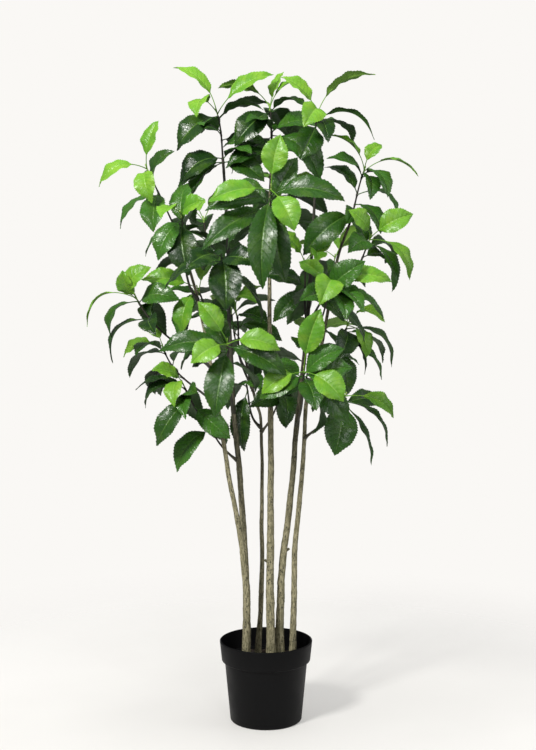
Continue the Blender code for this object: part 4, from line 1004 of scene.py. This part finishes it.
def teeth(share, count):
    """Forward-pointing teeth along the edge, from 0 to 1."""
    place = np.mod(share * count, 1.0)
    return place ** TOOTH_HOOK * within(share, TOOTHED_FROM, TOOTHED_TO)


def vein_place(share, across, shift):
    """Rises by one from each side vein to the next."""
    return (share - VEIN_SLANT * np.abs(across) ** VEIN_CURVE) * VEIN_COUNT + shift


def leaf_frames(pose, along):
    """Points, sides and face directions at shares of the way along a leaf."""
    heading = row(pose["heading"])
    bend = pose["arch"] * row(pose["up"]) + pose["sweep"] * row(pose["side"])
    share = along[:, None]
    points = row(pose["root"]) + pose["length"] * (share * heading + 4 * share * (1 - share) * bend)
    tangents = unit(heading + 4 * (1 - 2 * share) * bend)
    sides = unit(np.cross(tangents, row(pose["up"])))
    return points, sides, np.cross(sides, tangents), tangents


def blade_relief(pose, rng, share, across, hand, width):
    """A blade's fold, how far its surface stands off its plane, and its curl near the tip."""
    out = np.abs(across)
    fold = math.radians(FOLD_DEGREES + rng.uniform(*FOLD_STRAY))
    waves = EDGE_WAVE * hand * np.cos(np.pi * (share - EDGE_SHARES[0]) / WAVE_SPACING) * out ** 2
    ripple = RIPPLE * np.sin(2 * np.pi * (share * rng.uniform(*RIPPLES) + rng.random())) * out ** 3
    roll = -ROLL * width * out ** 3 * math.cos(fold)
    bowl = width * out * math.sin(fold) * (1 - RIB_HOLLOW * np.exp(-(out / RIB_HOLLOW_WIDTH) ** 2))
    veins = vein_place(share, across, rng.uniform(0, 0.5) * hand)
    pillow = QUILT * (0.5 - 0.5 * np.cos(2 * np.pi * veins)) ** QUILT_ROUND
    pillow = pillow * np.sin(np.pi * np.clip(out, 0, 1)) ** QUILT_REACH * within(share, QUILT_FROM, QUILT_TO)
    curl = -TIP_CURL * pose["length"] * smooth_step(*CURL_ZONE, share) ** 2 * rng.uniform(*CURL_STRAY)
    return fold, bowl + waves + ripple + roll + pillow + curl, curl


def add_leaf(skin, pose, rng, tone):
    """One leaf as one closed skin: a round stalk that widens into a thin blade with veins and teeth."""
    stalk = STALK_SHARE[pose["kind"]]
    radius = STALK_RADIUS[pose["kind"]]
    blade = np.linspace(0, 1, BLADE_ROWS + 1)[:-1]
    stalk_rows = np.linspace(0, 1, STALK_ROWS + 1)[:-1]
    along = np.concatenate([stalk * stalk_rows, stalk + (1 - stalk) * blade])
    share = np.concatenate([np.zeros(STALK_ROWS), blade])[:, None]
    points, sides, face, tangents = leaf_frames(pose, along)
    top = np.array(LEAF_COLUMNS)
    across = np.concatenate([top, top[-2:0:-1]])[None, :]
    upper = np.array([1.0] * len(top) + [-1.0] * (len(top) - 2))[None, :]
    hand = np.where(across >= 0, 1.0, -1.0)
    out = np.abs(across)
    width = 0.5 * pose["width"] * fine_outline(share) * (share > 0)
    toothed = teeth(share + 0.5 * hand / BLADE_ROWS, BLADE_ROWS / ROWS_A_TOOTH)
    width = width + TOOTH_DEPTH * toothed * smooth_step(*TOOTHED_EDGE, out) * (share > 0)
    # The stalk swells where it leaves the twig, and runs on as a midrib that thins towards the tip
    swell = np.concatenate([1 + STALK_SWELL * (1 - stalk_rows) ** SWELL_FALL, np.ones(BLADE_ROWS)])[:, None]
    rib = radius * swell * (1 - RIB_TAPER * share)
    reach = smooth_max(width, rib)
    opened = smooth_step(*OPENING, share)
    fold, relief, curl = blade_relief(pose, rng, share, across, hand, width)
    groove = -GROOVE * radius * np.exp(-(out / GROOVE_WIDTH) ** 2)
    thick = 0.5 * BLADE_THICKNESS * (1 - out ** THIN_EDGE)
    ridge = rib * np.exp(-(across * reach / (RIB_WIDTH * rib)) ** 2)
    blade_rise = np.where(upper > 0, thick + groove, -thick - ridge)
    round_rise = upper * rib * np.sqrt(np.clip(1 - across ** 2, 0, 1))
    rise = (1 - opened) * round_rise + opened * (blade_rise + relief)
    spread = across * reach * (1 - opened * (1 - math.cos(fold)))
    rings = points[:, None, :] + spread[..., None] * sides[:, None, :] + rise[..., None] * face[:, None, :]
    tip = row(pose["root"]) + pose["length"] * row(pose["heading"]) + float(curl[-1, 0]) * face[-1]
    place = np.zeros(rings.shape)
    place[..., 0] = share
    place[..., 1] = across
    place[..., 2] = tone
    underside = np.where(np.arange(across.size) >= len(top) - 1, 1.0, 0.0)
    skin.loft(rings, points[0] - tangents[0] * radius, tip, place, underside)


# Wood


def bark_radii(line, radii, sides, rng, rough, spacing):
    """Radii with long ridges, small lumps and the faint rings of old leaf scars."""
    base = np.array(radii)[:, None] * np.ones(sides)
    height = walked(line)
    offset = rng.uniform(0, NOISE_SPAN)
    relief = np.empty(base.shape)
    for step, far in enumerate(height):
        for side in range(sides):
            angle = 2 * math.pi * side / sides
            x = math.cos(angle)
            y = math.sin(angle)
            ridge = noise.noise((RIDGES * x + offset, RIDGES * y, far / RIDGE_LENGTH))
            lump = noise.noise((LUMPS * x, LUMPS * y + offset, far / LUMP_LENGTH))
            relief[step, side] = ridge + LUMP_SHARE * lump
    scars = np.zeros(len(height))
    place = rng.uniform(SCAR_START, spacing)
    while place < height[-1]:
        scars += rng.uniform(*SCAR_SIZES) * np.exp(-((height - place) / SCAR_WIDTH) ** 2)
        place += spacing * rng.uniform(*SCAR_STEPS)
    return base * (1 + rough * relief + SCAR_HEIGHT * rough * scars[:, None])


def wavering(line, rng):
    """The line with slow small bends, still at its ends."""
    seed = rng.uniform(0, NOISE_SPAN)
    far = walked(line)
    bent = []
    for point, place in zip(line, far):
        ease = min(1.0, place / WAVER_EASE, (far[-1] - place) / WAVER_EASE)
        spots = [(seed, place / WAVER_LENGTH, level) for level in WAVER_LEVELS]
        push = [noise.noise(spot) * STEM_WAVER * ease for spot in spots]
        bent.append(point + Vector((*push, 0)))
    return bent


def fine_stem(name, stem, curves, finish):
    rng = random.Random("stem " + name)
    guide = [Vector(p) for p in stem["line"]]
    line = [guide[0].lerp(guide[1], step / FOOT_ROWS) for step in range(FOOT_ROWS)]
    line += [smooth_point(guide[1:], step / STEM_ROWS) for step in range(STEM_ROWS + 1)]
    flares = [1 + FLARE * math.exp(-max(0.0, point.z - SOIL_TOP) / FLARE_FADE) for point in line]
    radii = [radius * flare for radius, flare in zip(stem_radii(stem, line), flares)]
    line = wavering(line, rng)
    skin = Skin()
    radii = bark_radii(line, radii, STEM_AROUND, rng, STEM_ROUGH, STEM_SCARS)
    add_tube(skin, line, radii, tone=STEM_TONES[name])
    foot = stem["foot"] * MILLI
    for plan in SPRAYS:
        curve = curves[plan["name"]]
        if plan["stem"] != name or curve[4]:
            continue
        branch = curve_points(curve, 0, BRANCH_SHARE, BRANCH_ROWS)
        far = walked(branch)
        sizes = BRANCH_RADIUS + (SOCKET_RADIUS - BRANCH_RADIUS) * far / far[-1]
        sizes = sizes * (1 + COLLAR * np.exp(-np.maximum(0, far - COLLAR_START * foot) / COLLAR_LENGTH))
        sizes = bark_radii(branch, sizes, BRANCH_AROUND, rng, BRANCH_ROUGH, BRANCH_SCARS)
        add_tube(skin, branch, sizes, tone=BRANCH_TONE)
    for stem_name, level, angle in SNAGS:
        if stem_name == name:
            add_snag(skin, line, level, angle, rng)
    return skin.build("bark_" + name, [finish])


def add_snag(skin, line, level, angle, rng):
    start = at_height(line, level)[0]
    angle = math.radians(angle)
    outward = Vector((math.cos(angle), math.sin(angle), SNAG_RISE)).normalized()
    points = [start + SNAG_LENGTH * outward * step / SNAG_ROWS for step in range(SNAG_ROWS + 1)]
    sizes = np.linspace(*SNAG_RADII, SNAG_ROWS + 1)
    sizes = bark_radii(points, sizes, BRANCH_AROUND, rng, SNAG_ROUGH, SNAG_SCARS)
    add_tube(skin, points, sizes, tone=SNAG_TONE, blunt=SNAG_BLUNT)


def add_twig(skin, curve, offsets, rng):
    """The spray's dark twig, a little thicker where each leaf leaves it."""
    start = 0.0 if curve[4] else BRANCH_SHARE - TWIG_OVERLAP
    line = curve_points(curve, start, twig_end(curve), TWIG_ROWS)
    far = walked(line)
    first = TOP_TWIG_RADIUS if curve[4] else SOCKET_RADIUS
    sizes = TWIG_RADIUS + (TWIG_END_RADIUS - TWIG_RADIUS) * far / far[-1]
    sizes = sizes + (first - TWIG_RADIUS) * np.exp(-far / TWIG_FLARE)
    for offset in offsets:
        place = far[-1] + SHOOT_LENGTH - offset
        sizes = sizes + NODE_SWELL * np.exp(-((far - place) / NODE_WIDTH) ** 2)
    sizes = bark_radii(line, sizes, TWIG_AROUND, rng, TWIG_ROUGH, TWIG_SCARS)
    add_tube(skin, line, sizes, finish=1, tone=rng.random())


def add_shoot(skin, curve, rng):
    """The pale end of the twig with its bud."""
    foot, tip = shoot_line(curve)[0]
    along = (tip - foot).normalized()
    shares = [step / SHOOT_ROWS for step in range(SHOOT_ROWS + 1)]
    points = [foot.lerp(tip, share) for share in shares]
    sizes = [SHOOT_RADIUS * (1 - SHOOT_TAPER * share) for share in shares]
    wide, blunt = BUD_ROUND
    for share in [step / BUD_ROWS for step in range(1, BUD_ROWS)]:
        points.append(tip + along * BUD_LENGTH * share)
        sizes.append(SHOOT_RADIUS * (wide * math.cos(0.5 * math.pi * share) + blunt))
    sizes = np.array(sizes)[:, None] * np.ones(SHOOT_AROUND)
    add_tube(skin, points, sizes, finish=1, tone=rng.random(), blunt=BUD_BLUNT)


def fine_spray(plan, kind, curve, poses, finishes):
    node = kind + "_" + plan["name"]
    rng = random.Random(node)
    skin = Skin()
    if kind == "mature":
        offsets = [(curve[3] - pose["root"]).length for pose in poses]
        add_twig(skin, curve, offsets, rng)
    else:
        add_shoot(skin, curve, rng)
    for pose in poses:
        tone = LEAF_TONES.get(plan["name"], rng.random()) if kind == "mature" else rng.random()
        add_leaf(skin, pose, rng, tone)
    return skin.build("fine_" + node, finishes)


# Pot and soil, turned


def turned(skin, profile, sides, lift=None):
    """A turned solid. The profile starts and ends on the axis; lift moves points up, by radius and angle."""
    angles = 2 * np.pi * np.arange(sides) / sides
    rings = np.array([[(r * math.cos(a), r * math.sin(a), z) for a in angles] for r, z in profile[1:-1]])
    if lift:
        for ring in rings:
            for point in ring:
                point[2] += lift(point)
    place = np.zeros(rings.shape)
    place[..., 0] = (np.arange(sides) / sides)[None, :]
    place[..., 1] = rings[..., 2]
    ends = [(0, 0, profile[0][1]), (0, 0, profile[-1][1])]
    if lift:
        ends[1] = (0, 0, ends[1][2] + lift(ends[1]))
    skin.loft(rings, row(ends[0]), row(ends[1]), place)


def rounded(profile):
    """The profile with each corner turned into a small arc."""
    made = [profile[0]]
    for before, corner, after in zip(profile, profile[1:], profile[2:]):
        corner = Vector(corner)
        back = Vector(before) - corner
        on = Vector(after) - corner
        cut = min(POT_ROUNDING, MOST_OF_EDGE * back.length, MOST_OF_EDGE * on.length)
        start = corner + back.normalized() * cut
        end = corner + on.normalized() * cut
        for step in range(ROUNDING_STEPS + 1):
            share = step / ROUNDING_STEPS
            made.append(tuple((1 - share) ** 2 * start + 2 * share * (1 - share) * corner + share ** 2 * end))
    return made + [profile[-1]]


def fine_pot(finish):
    skin = Skin()
    turned(skin, rounded(pot_profile()), POT_AROUND)
    pot = skin.build("nursery_pot", [finish])
    for index in range(DRAIN_COUNT):
        angle = 2 * math.pi * (index + 0.5) / DRAIN_COUNT
        middle = Vector((DRAIN_CIRCLE * math.cos(angle), DRAIN_CIRCLE * math.sin(angle), -FOOT_HEIGHT))
        punch = Skin()
        line = [middle, middle + Vector((0, 0, PUNCH_LENGTH))]
        add_tube(punch, line, np.full((2, DRAIN_SIDES), DRAIN_RADIUS), blunt=0)
        hole = pot.modifiers.new("drain", "BOOLEAN")
        hole.operation = "DIFFERENCE"
        hole.solver = "MANIFOLD"
        hole.object = punch.build("drain", [finish])
    graph = bpy.context.evaluated_depsgraph_get()
    mesh = bpy.data.meshes.new_from_object(pot.evaluated_get(graph))
    for hole in list(pot.modifiers):
        bpy.data.objects.remove(hole.object)
    pot.modifiers.clear()
    pot.data = mesh
    return pot


def soil_lift(point):
    """On the surface: crumbs and clods, and a slight mound round each stem's foot."""
    if point[2] <= SOIL_TOP - 0.5 * SOIL_SIDE:
        return 0.0
    place = Vector(point)
    lift = sum(height * noise.noise(place / size + Vector(shift)) for height, size, shift in SOIL_CLODS)
    for stem in STEMS.values():
        foot = Vector(stem["line"][1][:2])
        lift += MOUND * math.exp(-((place.xy - foot).length / MOUND_WIDTH) ** 2)
    return lift


def fine_soil(finish):
    skin = Skin()
    bottom = FOOT_HEIGHT + POT_WALL + GAP
    edge = inner_radius(SOIL_TOP) - 2 * GAP
    deep = [(0, bottom), (inner_radius(bottom) - 2 * GAP, bottom), (edge, SOIL_TOP - SOIL_SIDE)]
    surface = [(edge * (1 - step / SOIL_RINGS), SOIL_TOP) for step in range(SOIL_RINGS)]
    turned(skin, deep + surface + [(0, SOIL_TOP)], SOIL_AROUND, soil_lift)
    return skin.build("potting_soil", [finish])


# Materials


class Nodes:
    """Adds nodes to a tree and links them."""

    def __init__(self, tree):
        self.tree = tree

    def node(self, kind, **settings):
        made = self.tree.nodes.new(kind)
        for name, value in settings.items():
            setattr(made, name, value)
        return made

    def feed(self, socket, value):
        if isinstance(value, bpy.types.NodeSocket):
            self.tree.links.new(value, socket)
        else:
            socket.default_value = value

    def maths(self, operation, *values, clamp=False):
        made = self.node("ShaderNodeMath", operation=operation, use_clamp=clamp)
        for socket, value in zip(made.inputs, values):
            self.feed(socket, value)
        return made.outputs[0]

    def mix_shaders(self, factor, first, second):
        made = self.node("ShaderNodeMixShader")
        for socket, value in zip(made.inputs, (factor, first, second)):
            self.feed(socket, value)
        return made.outputs[0]


class Finish(Nodes):
    """Builds one procedural material."""

    def __init__(self, name):
        self.material = bpy.data.materials.new(name)
        self.material.use_nodes = True
        super().__init__(self.material.node_tree)
        self.shader = self.tree.nodes["Principled BSDF"]

    def between(self, value, low, high, start=0.0, end=1.0):
        """value, from low to high, turned into start to end along a smooth step."""
        made = self.node("ShaderNodeMapRange", interpolation_type="SMOOTHSTEP")
        for socket, given in zip(made.inputs, (value, low, high, start, end)):
            self.feed(socket, given)
        return made.outputs[0]

    def times(self, value, factor):
        return self.maths("MULTIPLY", value, factor)

    def blend(self, factor, first, second):
        made = self.node("ShaderNodeMix", data_type="RGBA")
        self.feed(made.inputs["Factor"], factor)
        for socket, value in ((made.inputs[6], first), (made.inputs[7], second)):
            self.feed(socket, value if isinstance(value, bpy.types.NodeSocket) else srgb(*value))
        return made.outputs[2]

    def paint(self, first, *layers):
        """The base colour: each layer covers what is under it by an amount."""
        for amount, colour in layers:
            first = self.blend(amount, first, colour)
        self.set(Base_Color=first)

    def noise(self, scale, detail=3.0, vector=None, rough=0.5):
        made = self.node("ShaderNodeTexNoise")
        made.inputs["Scale"].default_value = scale
        made.inputs["Detail"].default_value = detail
        made.inputs["Roughness"].default_value = rough
        self.feed(made.inputs["Vector"], vector or self.coordinates())
        return made.outputs["Fac"]

    def cells(self, scale, feature="F1", vector=None):
        made = self.node("ShaderNodeTexVoronoi", feature=feature)
        made.inputs["Scale"].default_value = scale
        self.feed(made.inputs["Vector"], vector or self.coordinates())
        return made.outputs["Distance"]

    def coordinates(self):
        return self.node("ShaderNodeTexCoord").outputs["Object"]

    def stretched(self, x, y, z):
        made = self.node("ShaderNodeMapping")
        made.inputs["Scale"].default_value = (x, y, z)
        self.feed(made.inputs["Vector"], self.coordinates())
        return made.outputs["Vector"]

    def parts(self, vector):
        """The three numbers of a vector."""
        made = self.node("ShaderNodeSeparateXYZ")
        self.feed(made.inputs[0], vector)
        return made.outputs

    def place(self):
        """The place attribute's three numbers."""
        return self.parts(self.node("ShaderNodeAttribute", attribute_name="place").outputs["Vector"])

    def bump(self, height, strength, distance):
        made = self.node("ShaderNodeBump")
        made.inputs["Strength"].default_value = strength
        made.inputs["Distance"].default_value = distance
        self.feed(made.inputs["Height"], height)
        self.feed(self.shader.inputs["Normal"], made.outputs["Normal"])

    def set(self, **values):
        for name, value in values.items():
            self.feed(self.shader.inputs[name.replace("_", " ")], value)


def srgb(red, green, blue):
    """A colour given as 0 to 255 on screen, as the renderer's linear light."""
    made = []
    for value in (red, green, blue):
        value /= 255
        made.append(value / 12.92 if value <= 0.04045 else ((value + 0.055) / 1.055) ** 2.4)
    return (*made, 1.0)


def leaf_finish(name, dark, light, warm, vein, rib, underside, gloss):
    """Moulded leaf: its own tone, mottled, with veins, and a duller underside."""
    finish = Finish(name)
    along, across, tone = finish.place()
    under = finish.node("ShaderNodeAttribute", attribute_name="under").outputs["Fac"]
    out = finish.maths("ABSOLUTE", across)
    slant = finish.times(finish.maths("POWER", out, VEIN_CURVE), VEIN_SLANT)
    veins = finish.times(finish.maths("SUBTRACT", along, slant), VEIN_COUNT)
    side_vein = finish.between(finish.maths("PINGPONG", veins, 0.5), 0.0, 0.11, 1.0, 0.0)
    midrib = finish.between(out, 0.015, 0.07, 1.0, 0.0)
    mottle = finish.between(finish.noise(scale=38, detail=4), 0.42, 0.72, 0.0, 0.55)
    net = finish.between(finish.cells(scale=420, feature="DISTANCE_TO_EDGE"), 0.0, 0.12, 1.0, 0.0)
    finish.paint(dark, (tone, light), (mottle, warm), (finish.times(net, 0.12), vein),
                 (finish.times(side_vein, 0.5), vein), (finish.times(midrib, 0.5), rib),
                 (finish.times(under, 0.75), underside))
    shine = finish.between(finish.noise(scale=120, detail=2), 0.3, 0.7, gloss - 0.05, gloss + 0.09)
    finish.set(Roughness=finish.maths("ADD", shine, finish.times(under, 0.2)))
    height = finish.maths("ADD", finish.times(side_vein, -1.0), finish.times(net, -0.3))
    grain = finish.times(finish.noise(scale=900, detail=2), 0.3)
    finish.bump(finish.maths("ADD", height, grain), strength=0.4, distance=0.0005)
    return finish.material


def bark_finish(name, pale, mid, dark, pit):
    """Bark: fissures drawn out along the stem, dark pits, and a tone that turns greyer upward."""
    finish = Finish(name)
    tone = finish.place()[2]
    height = finish.parts(finish.coordinates())[2]
    streaks = finish.noise(scale=1.0, detail=6, vector=finish.stretched(300, 300, 70), rough=0.75)
    patches = finish.between(finish.noise(scale=26, detail=3), 0.5, 0.75, 0.0, 0.5)
    shade = finish.maths("ADD", finish.between(height, 0.25, 1.05, -0.25, 0.75), tone)
    shade = finish.maths("MULTIPLY", shade, 1.0, clamp=True)
    pits = finish.cells(scale=1.0, vector=finish.stretched(240, 240, 170))
    uneven = finish.maths("ADD", streaks, finish.noise(scale=45, detail=3))
    pitted = finish.between(finish.maths("ADD", pits, finish.times(uneven, 0.8)), 0.88, 1.18, 1.0, 0.0)
    finish.paint(mid, (finish.between(streaks, 0.40, 0.62), pale), (patches, mid), (shade, dark),
                 (finish.times(pitted, 0.85), pit))
    finish.set(Roughness=finish.between(streaks, 0.3, 0.7, 0.9, 0.68))
    finish.bump(finish.maths("SUBTRACT", streaks, finish.times(pitted, 0.8)), strength=0.7, distance=0.0012)
    return finish.material


def twig_finish(name, dark, light, roughness):
    finish = Finish(name)
    tone = finish.place()[2]
    grain = finish.noise(scale=1.0, detail=4, vector=finish.stretched(300, 300, 90))
    finish.paint(dark, (finish.between(grain, 0.35, 0.7), light), (finish.times(tone, 0.3), light))
    finish.set(Roughness=finish.between(grain, 0.3, 0.7, roughness, roughness + 0.15))
    finish.bump(grain, strength=0.4, distance=0.0006)
    return finish.material


def plastic_finish(name, dark, light, scuffed, specular):
    """Black moulded plastic with a fine matt grain, scuffed a little paler in thin bands round it."""
    finish = Finish(name)
    cloud = finish.noise(scale=14, detail=4)
    scuff = finish.noise(scale=1.0, detail=5, vector=finish.stretched(60, 60, 420), rough=0.7)
    finish.paint(dark, (finish.between(cloud, 0.35, 0.7), light),
                 (finish.between(scuff, 0.66, 0.82, 0.0, 0.5), scuffed))
    finish.set(Roughness=finish.between(cloud, 0.3, 0.7, 0.46, 0.6), Specular_IOR_Level=specular)
    finish.bump(finish.noise(scale=900, detail=3), strength=0.18, distance=0.0005)
    return finish.material


def soil_finish(name, dark, light, damp, bits):
    """Dark potting soil: brown crumbs, near black between them, with a few pale bits."""
    finish = Finish(name)
    grain = finish.noise(scale=620, detail=4)
    patches = finish.between(finish.noise(scale=30, detail=3), 0.4, 0.7, 0.0, 0.6)
    specks = finish.between(finish.noise(scale=340, detail=1), 0.70, 0.76, 0.0, 0.6)
    finish.paint(dark, (finish.between(grain, 0.3, 0.7), light), (patches, damp), (specks, bits))
    finish.set(Roughness=finish.between(grain, 0.3, 0.7, 0.98, 0.85))
    finish.bump(finish.maths("SUBTRACT", grain, finish.cells(scale=260)), strength=0.9, distance=0.003)
    return finish.material


def floor_finish(name, dark, light, glow, roughness):
    """Pale floor that fades out into the backdrop's light away from the pot."""
    finish = Finish(name)
    cloud = finish.between(finish.noise(scale=1.2, detail=3), 0.3, 0.7)
    finish.paint(dark, (cloud, light))
    finish.set(Roughness=roughness, Emission_Color=srgb(*glow), Emission_Strength=FLOOR_GLOW)
    away = finish.node("ShaderNodeVectorMath", operation="LENGTH")
    finish.feed(away.inputs[0], finish.coordinates())
    fade = finish.between(away.outputs["Value"], FLOOR_CLEAR, FLOOR_RADIUS)
    clear = finish.node("ShaderNodeBsdfTransparent").outputs[0]
    mixed = finish.mix_shaders(fade, finish.shader.outputs[0], clear)
    finish.feed(finish.tree.nodes["Material Output"].inputs["Surface"], mixed)
    return finish.material


# Studio


def make_floor():
    turns = [2 * math.pi * side / FLOOR_SIDES for side in range(FLOOR_SIDES)]
    rim = [(FLOOR_RADIUS * math.cos(turn), FLOOR_RADIUS * math.sin(turn), 0.0) for turn in turns]
    faces = [(0, 1 + side, 1 + (side + 1) % FLOOR_SIDES) for side in range(FLOOR_SIDES)]
    mesh = bpy.data.meshes.new("floor")
    mesh.from_pydata([(0.0, 0.0, 0.0), *rim], [], faces)
    mesh.materials.append(floor_finish("pale_floor", **FLOOR))
    floor = put("floor", mesh)


def add_light(name, place, aim_at, size, power, colour=WHITE, mirrored=True):
    light = bpy.data.lights.new(name, "AREA")
    light.shape = "RECTANGLE"
    light.size, light.size_y = size
    light.energy = power
    light.color = colour
    lamp = put(name, light, place)
    lamp.rotation_euler = (Vector(aim_at) - Vector(place)).to_track_quat("-Z", "Y").to_euler()
    lamp.visible_glossy = mirrored


def make_world():
    """White surroundings: bright where they are seen, softer as light and in reflections."""
    world = bpy.data.worlds.new("studio")
    bpy.context.scene.world = world
    world.use_nodes = True
    studio = Nodes(world.node_tree)
    seen = studio.tree.nodes["Background"]
    soft = studio.node("ShaderNodeBackground")
    for ground, look in ((seen, WORLD_SEEN), (soft, WORLD_LIGHT)):
        ground.inputs["Color"].default_value = srgb(*look["colour"])
        ground.inputs["Strength"].default_value = look["strength"]
    path = studio.node("ShaderNodeLightPath").outputs
    mirrored = studio.maths("MULTIPLY", path["Is Glossy Ray"], WORLD_MIRRORED)
    share = studio.maths("MAXIMUM", path["Is Camera Ray"], mirrored)
    mixed = studio.mix_shaders(share, soft.outputs[0], seen.outputs[0])
    studio.feed(studio.tree.nodes["World Output"].inputs["Surface"], mixed)


def make_camera():
    data = bpy.data.cameras.new("camera")
    data.lens = CAMERA_LENS
    data.sensor_width = CAMERA_SENSOR
    camera = put("camera", data, CAMERA_PLACE)
    camera.rotation_euler = (math.radians(90 - CAMERA_DOWN), 0, 0)
    bpy.context.scene.camera = camera


def wear(piece, slot, *nodes):
    """The piece rides on the one body and hides the CAD nodes that it stands for; slot is not used."""
    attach(piece, "root")
    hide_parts(*nodes)


def main():
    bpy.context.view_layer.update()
    make_camera()
    make_world()
    make_floor()
    for name, light in LIGHTS.items():
        add_light(name, **light)
    bpy.context.scene.view_settings.view_transform = "Standard"

    curves = {}
    for plan in SPRAYS:
        curves[plan["name"]] = branch_curve(plan, stem_line(STEMS[plan["stem"]])[0])
    poses = plan_leaves(crowd_of_wood(curves), curves)

    bark = bark_finish("grey_beige_bark", **BARK)
    finishes = {
        "mature": [leaf_finish("mature_leaf", **MATURE), twig_finish("dark_twig", **DARK_TWIG)],
        "young": [leaf_finish("young_leaf", **YOUNG), twig_finish("pale_shoot", **PALE_SHOOT)],
    }
    wear(fine_pot(plastic_finish("matt_black_plastic", **PLASTIC)), "pot_plastic", "pot")
    wear(fine_soil(soil_finish("crumbly_soil", **SOIL)), "soil", "soil")
    for name, stem in STEMS.items():
        wear(fine_stem(name, stem, curves, bark), "bark", "stem_" + name)
    for plan in SPRAYS:
        for kind in finishes:
            node = kind + "_" + plan["name"]
            if node in poses:
                piece = fine_spray(plan, kind, curves[plan["name"]], poses[node], finishes[kind])
                wear(piece, "leaf_" + kind, node)


main()
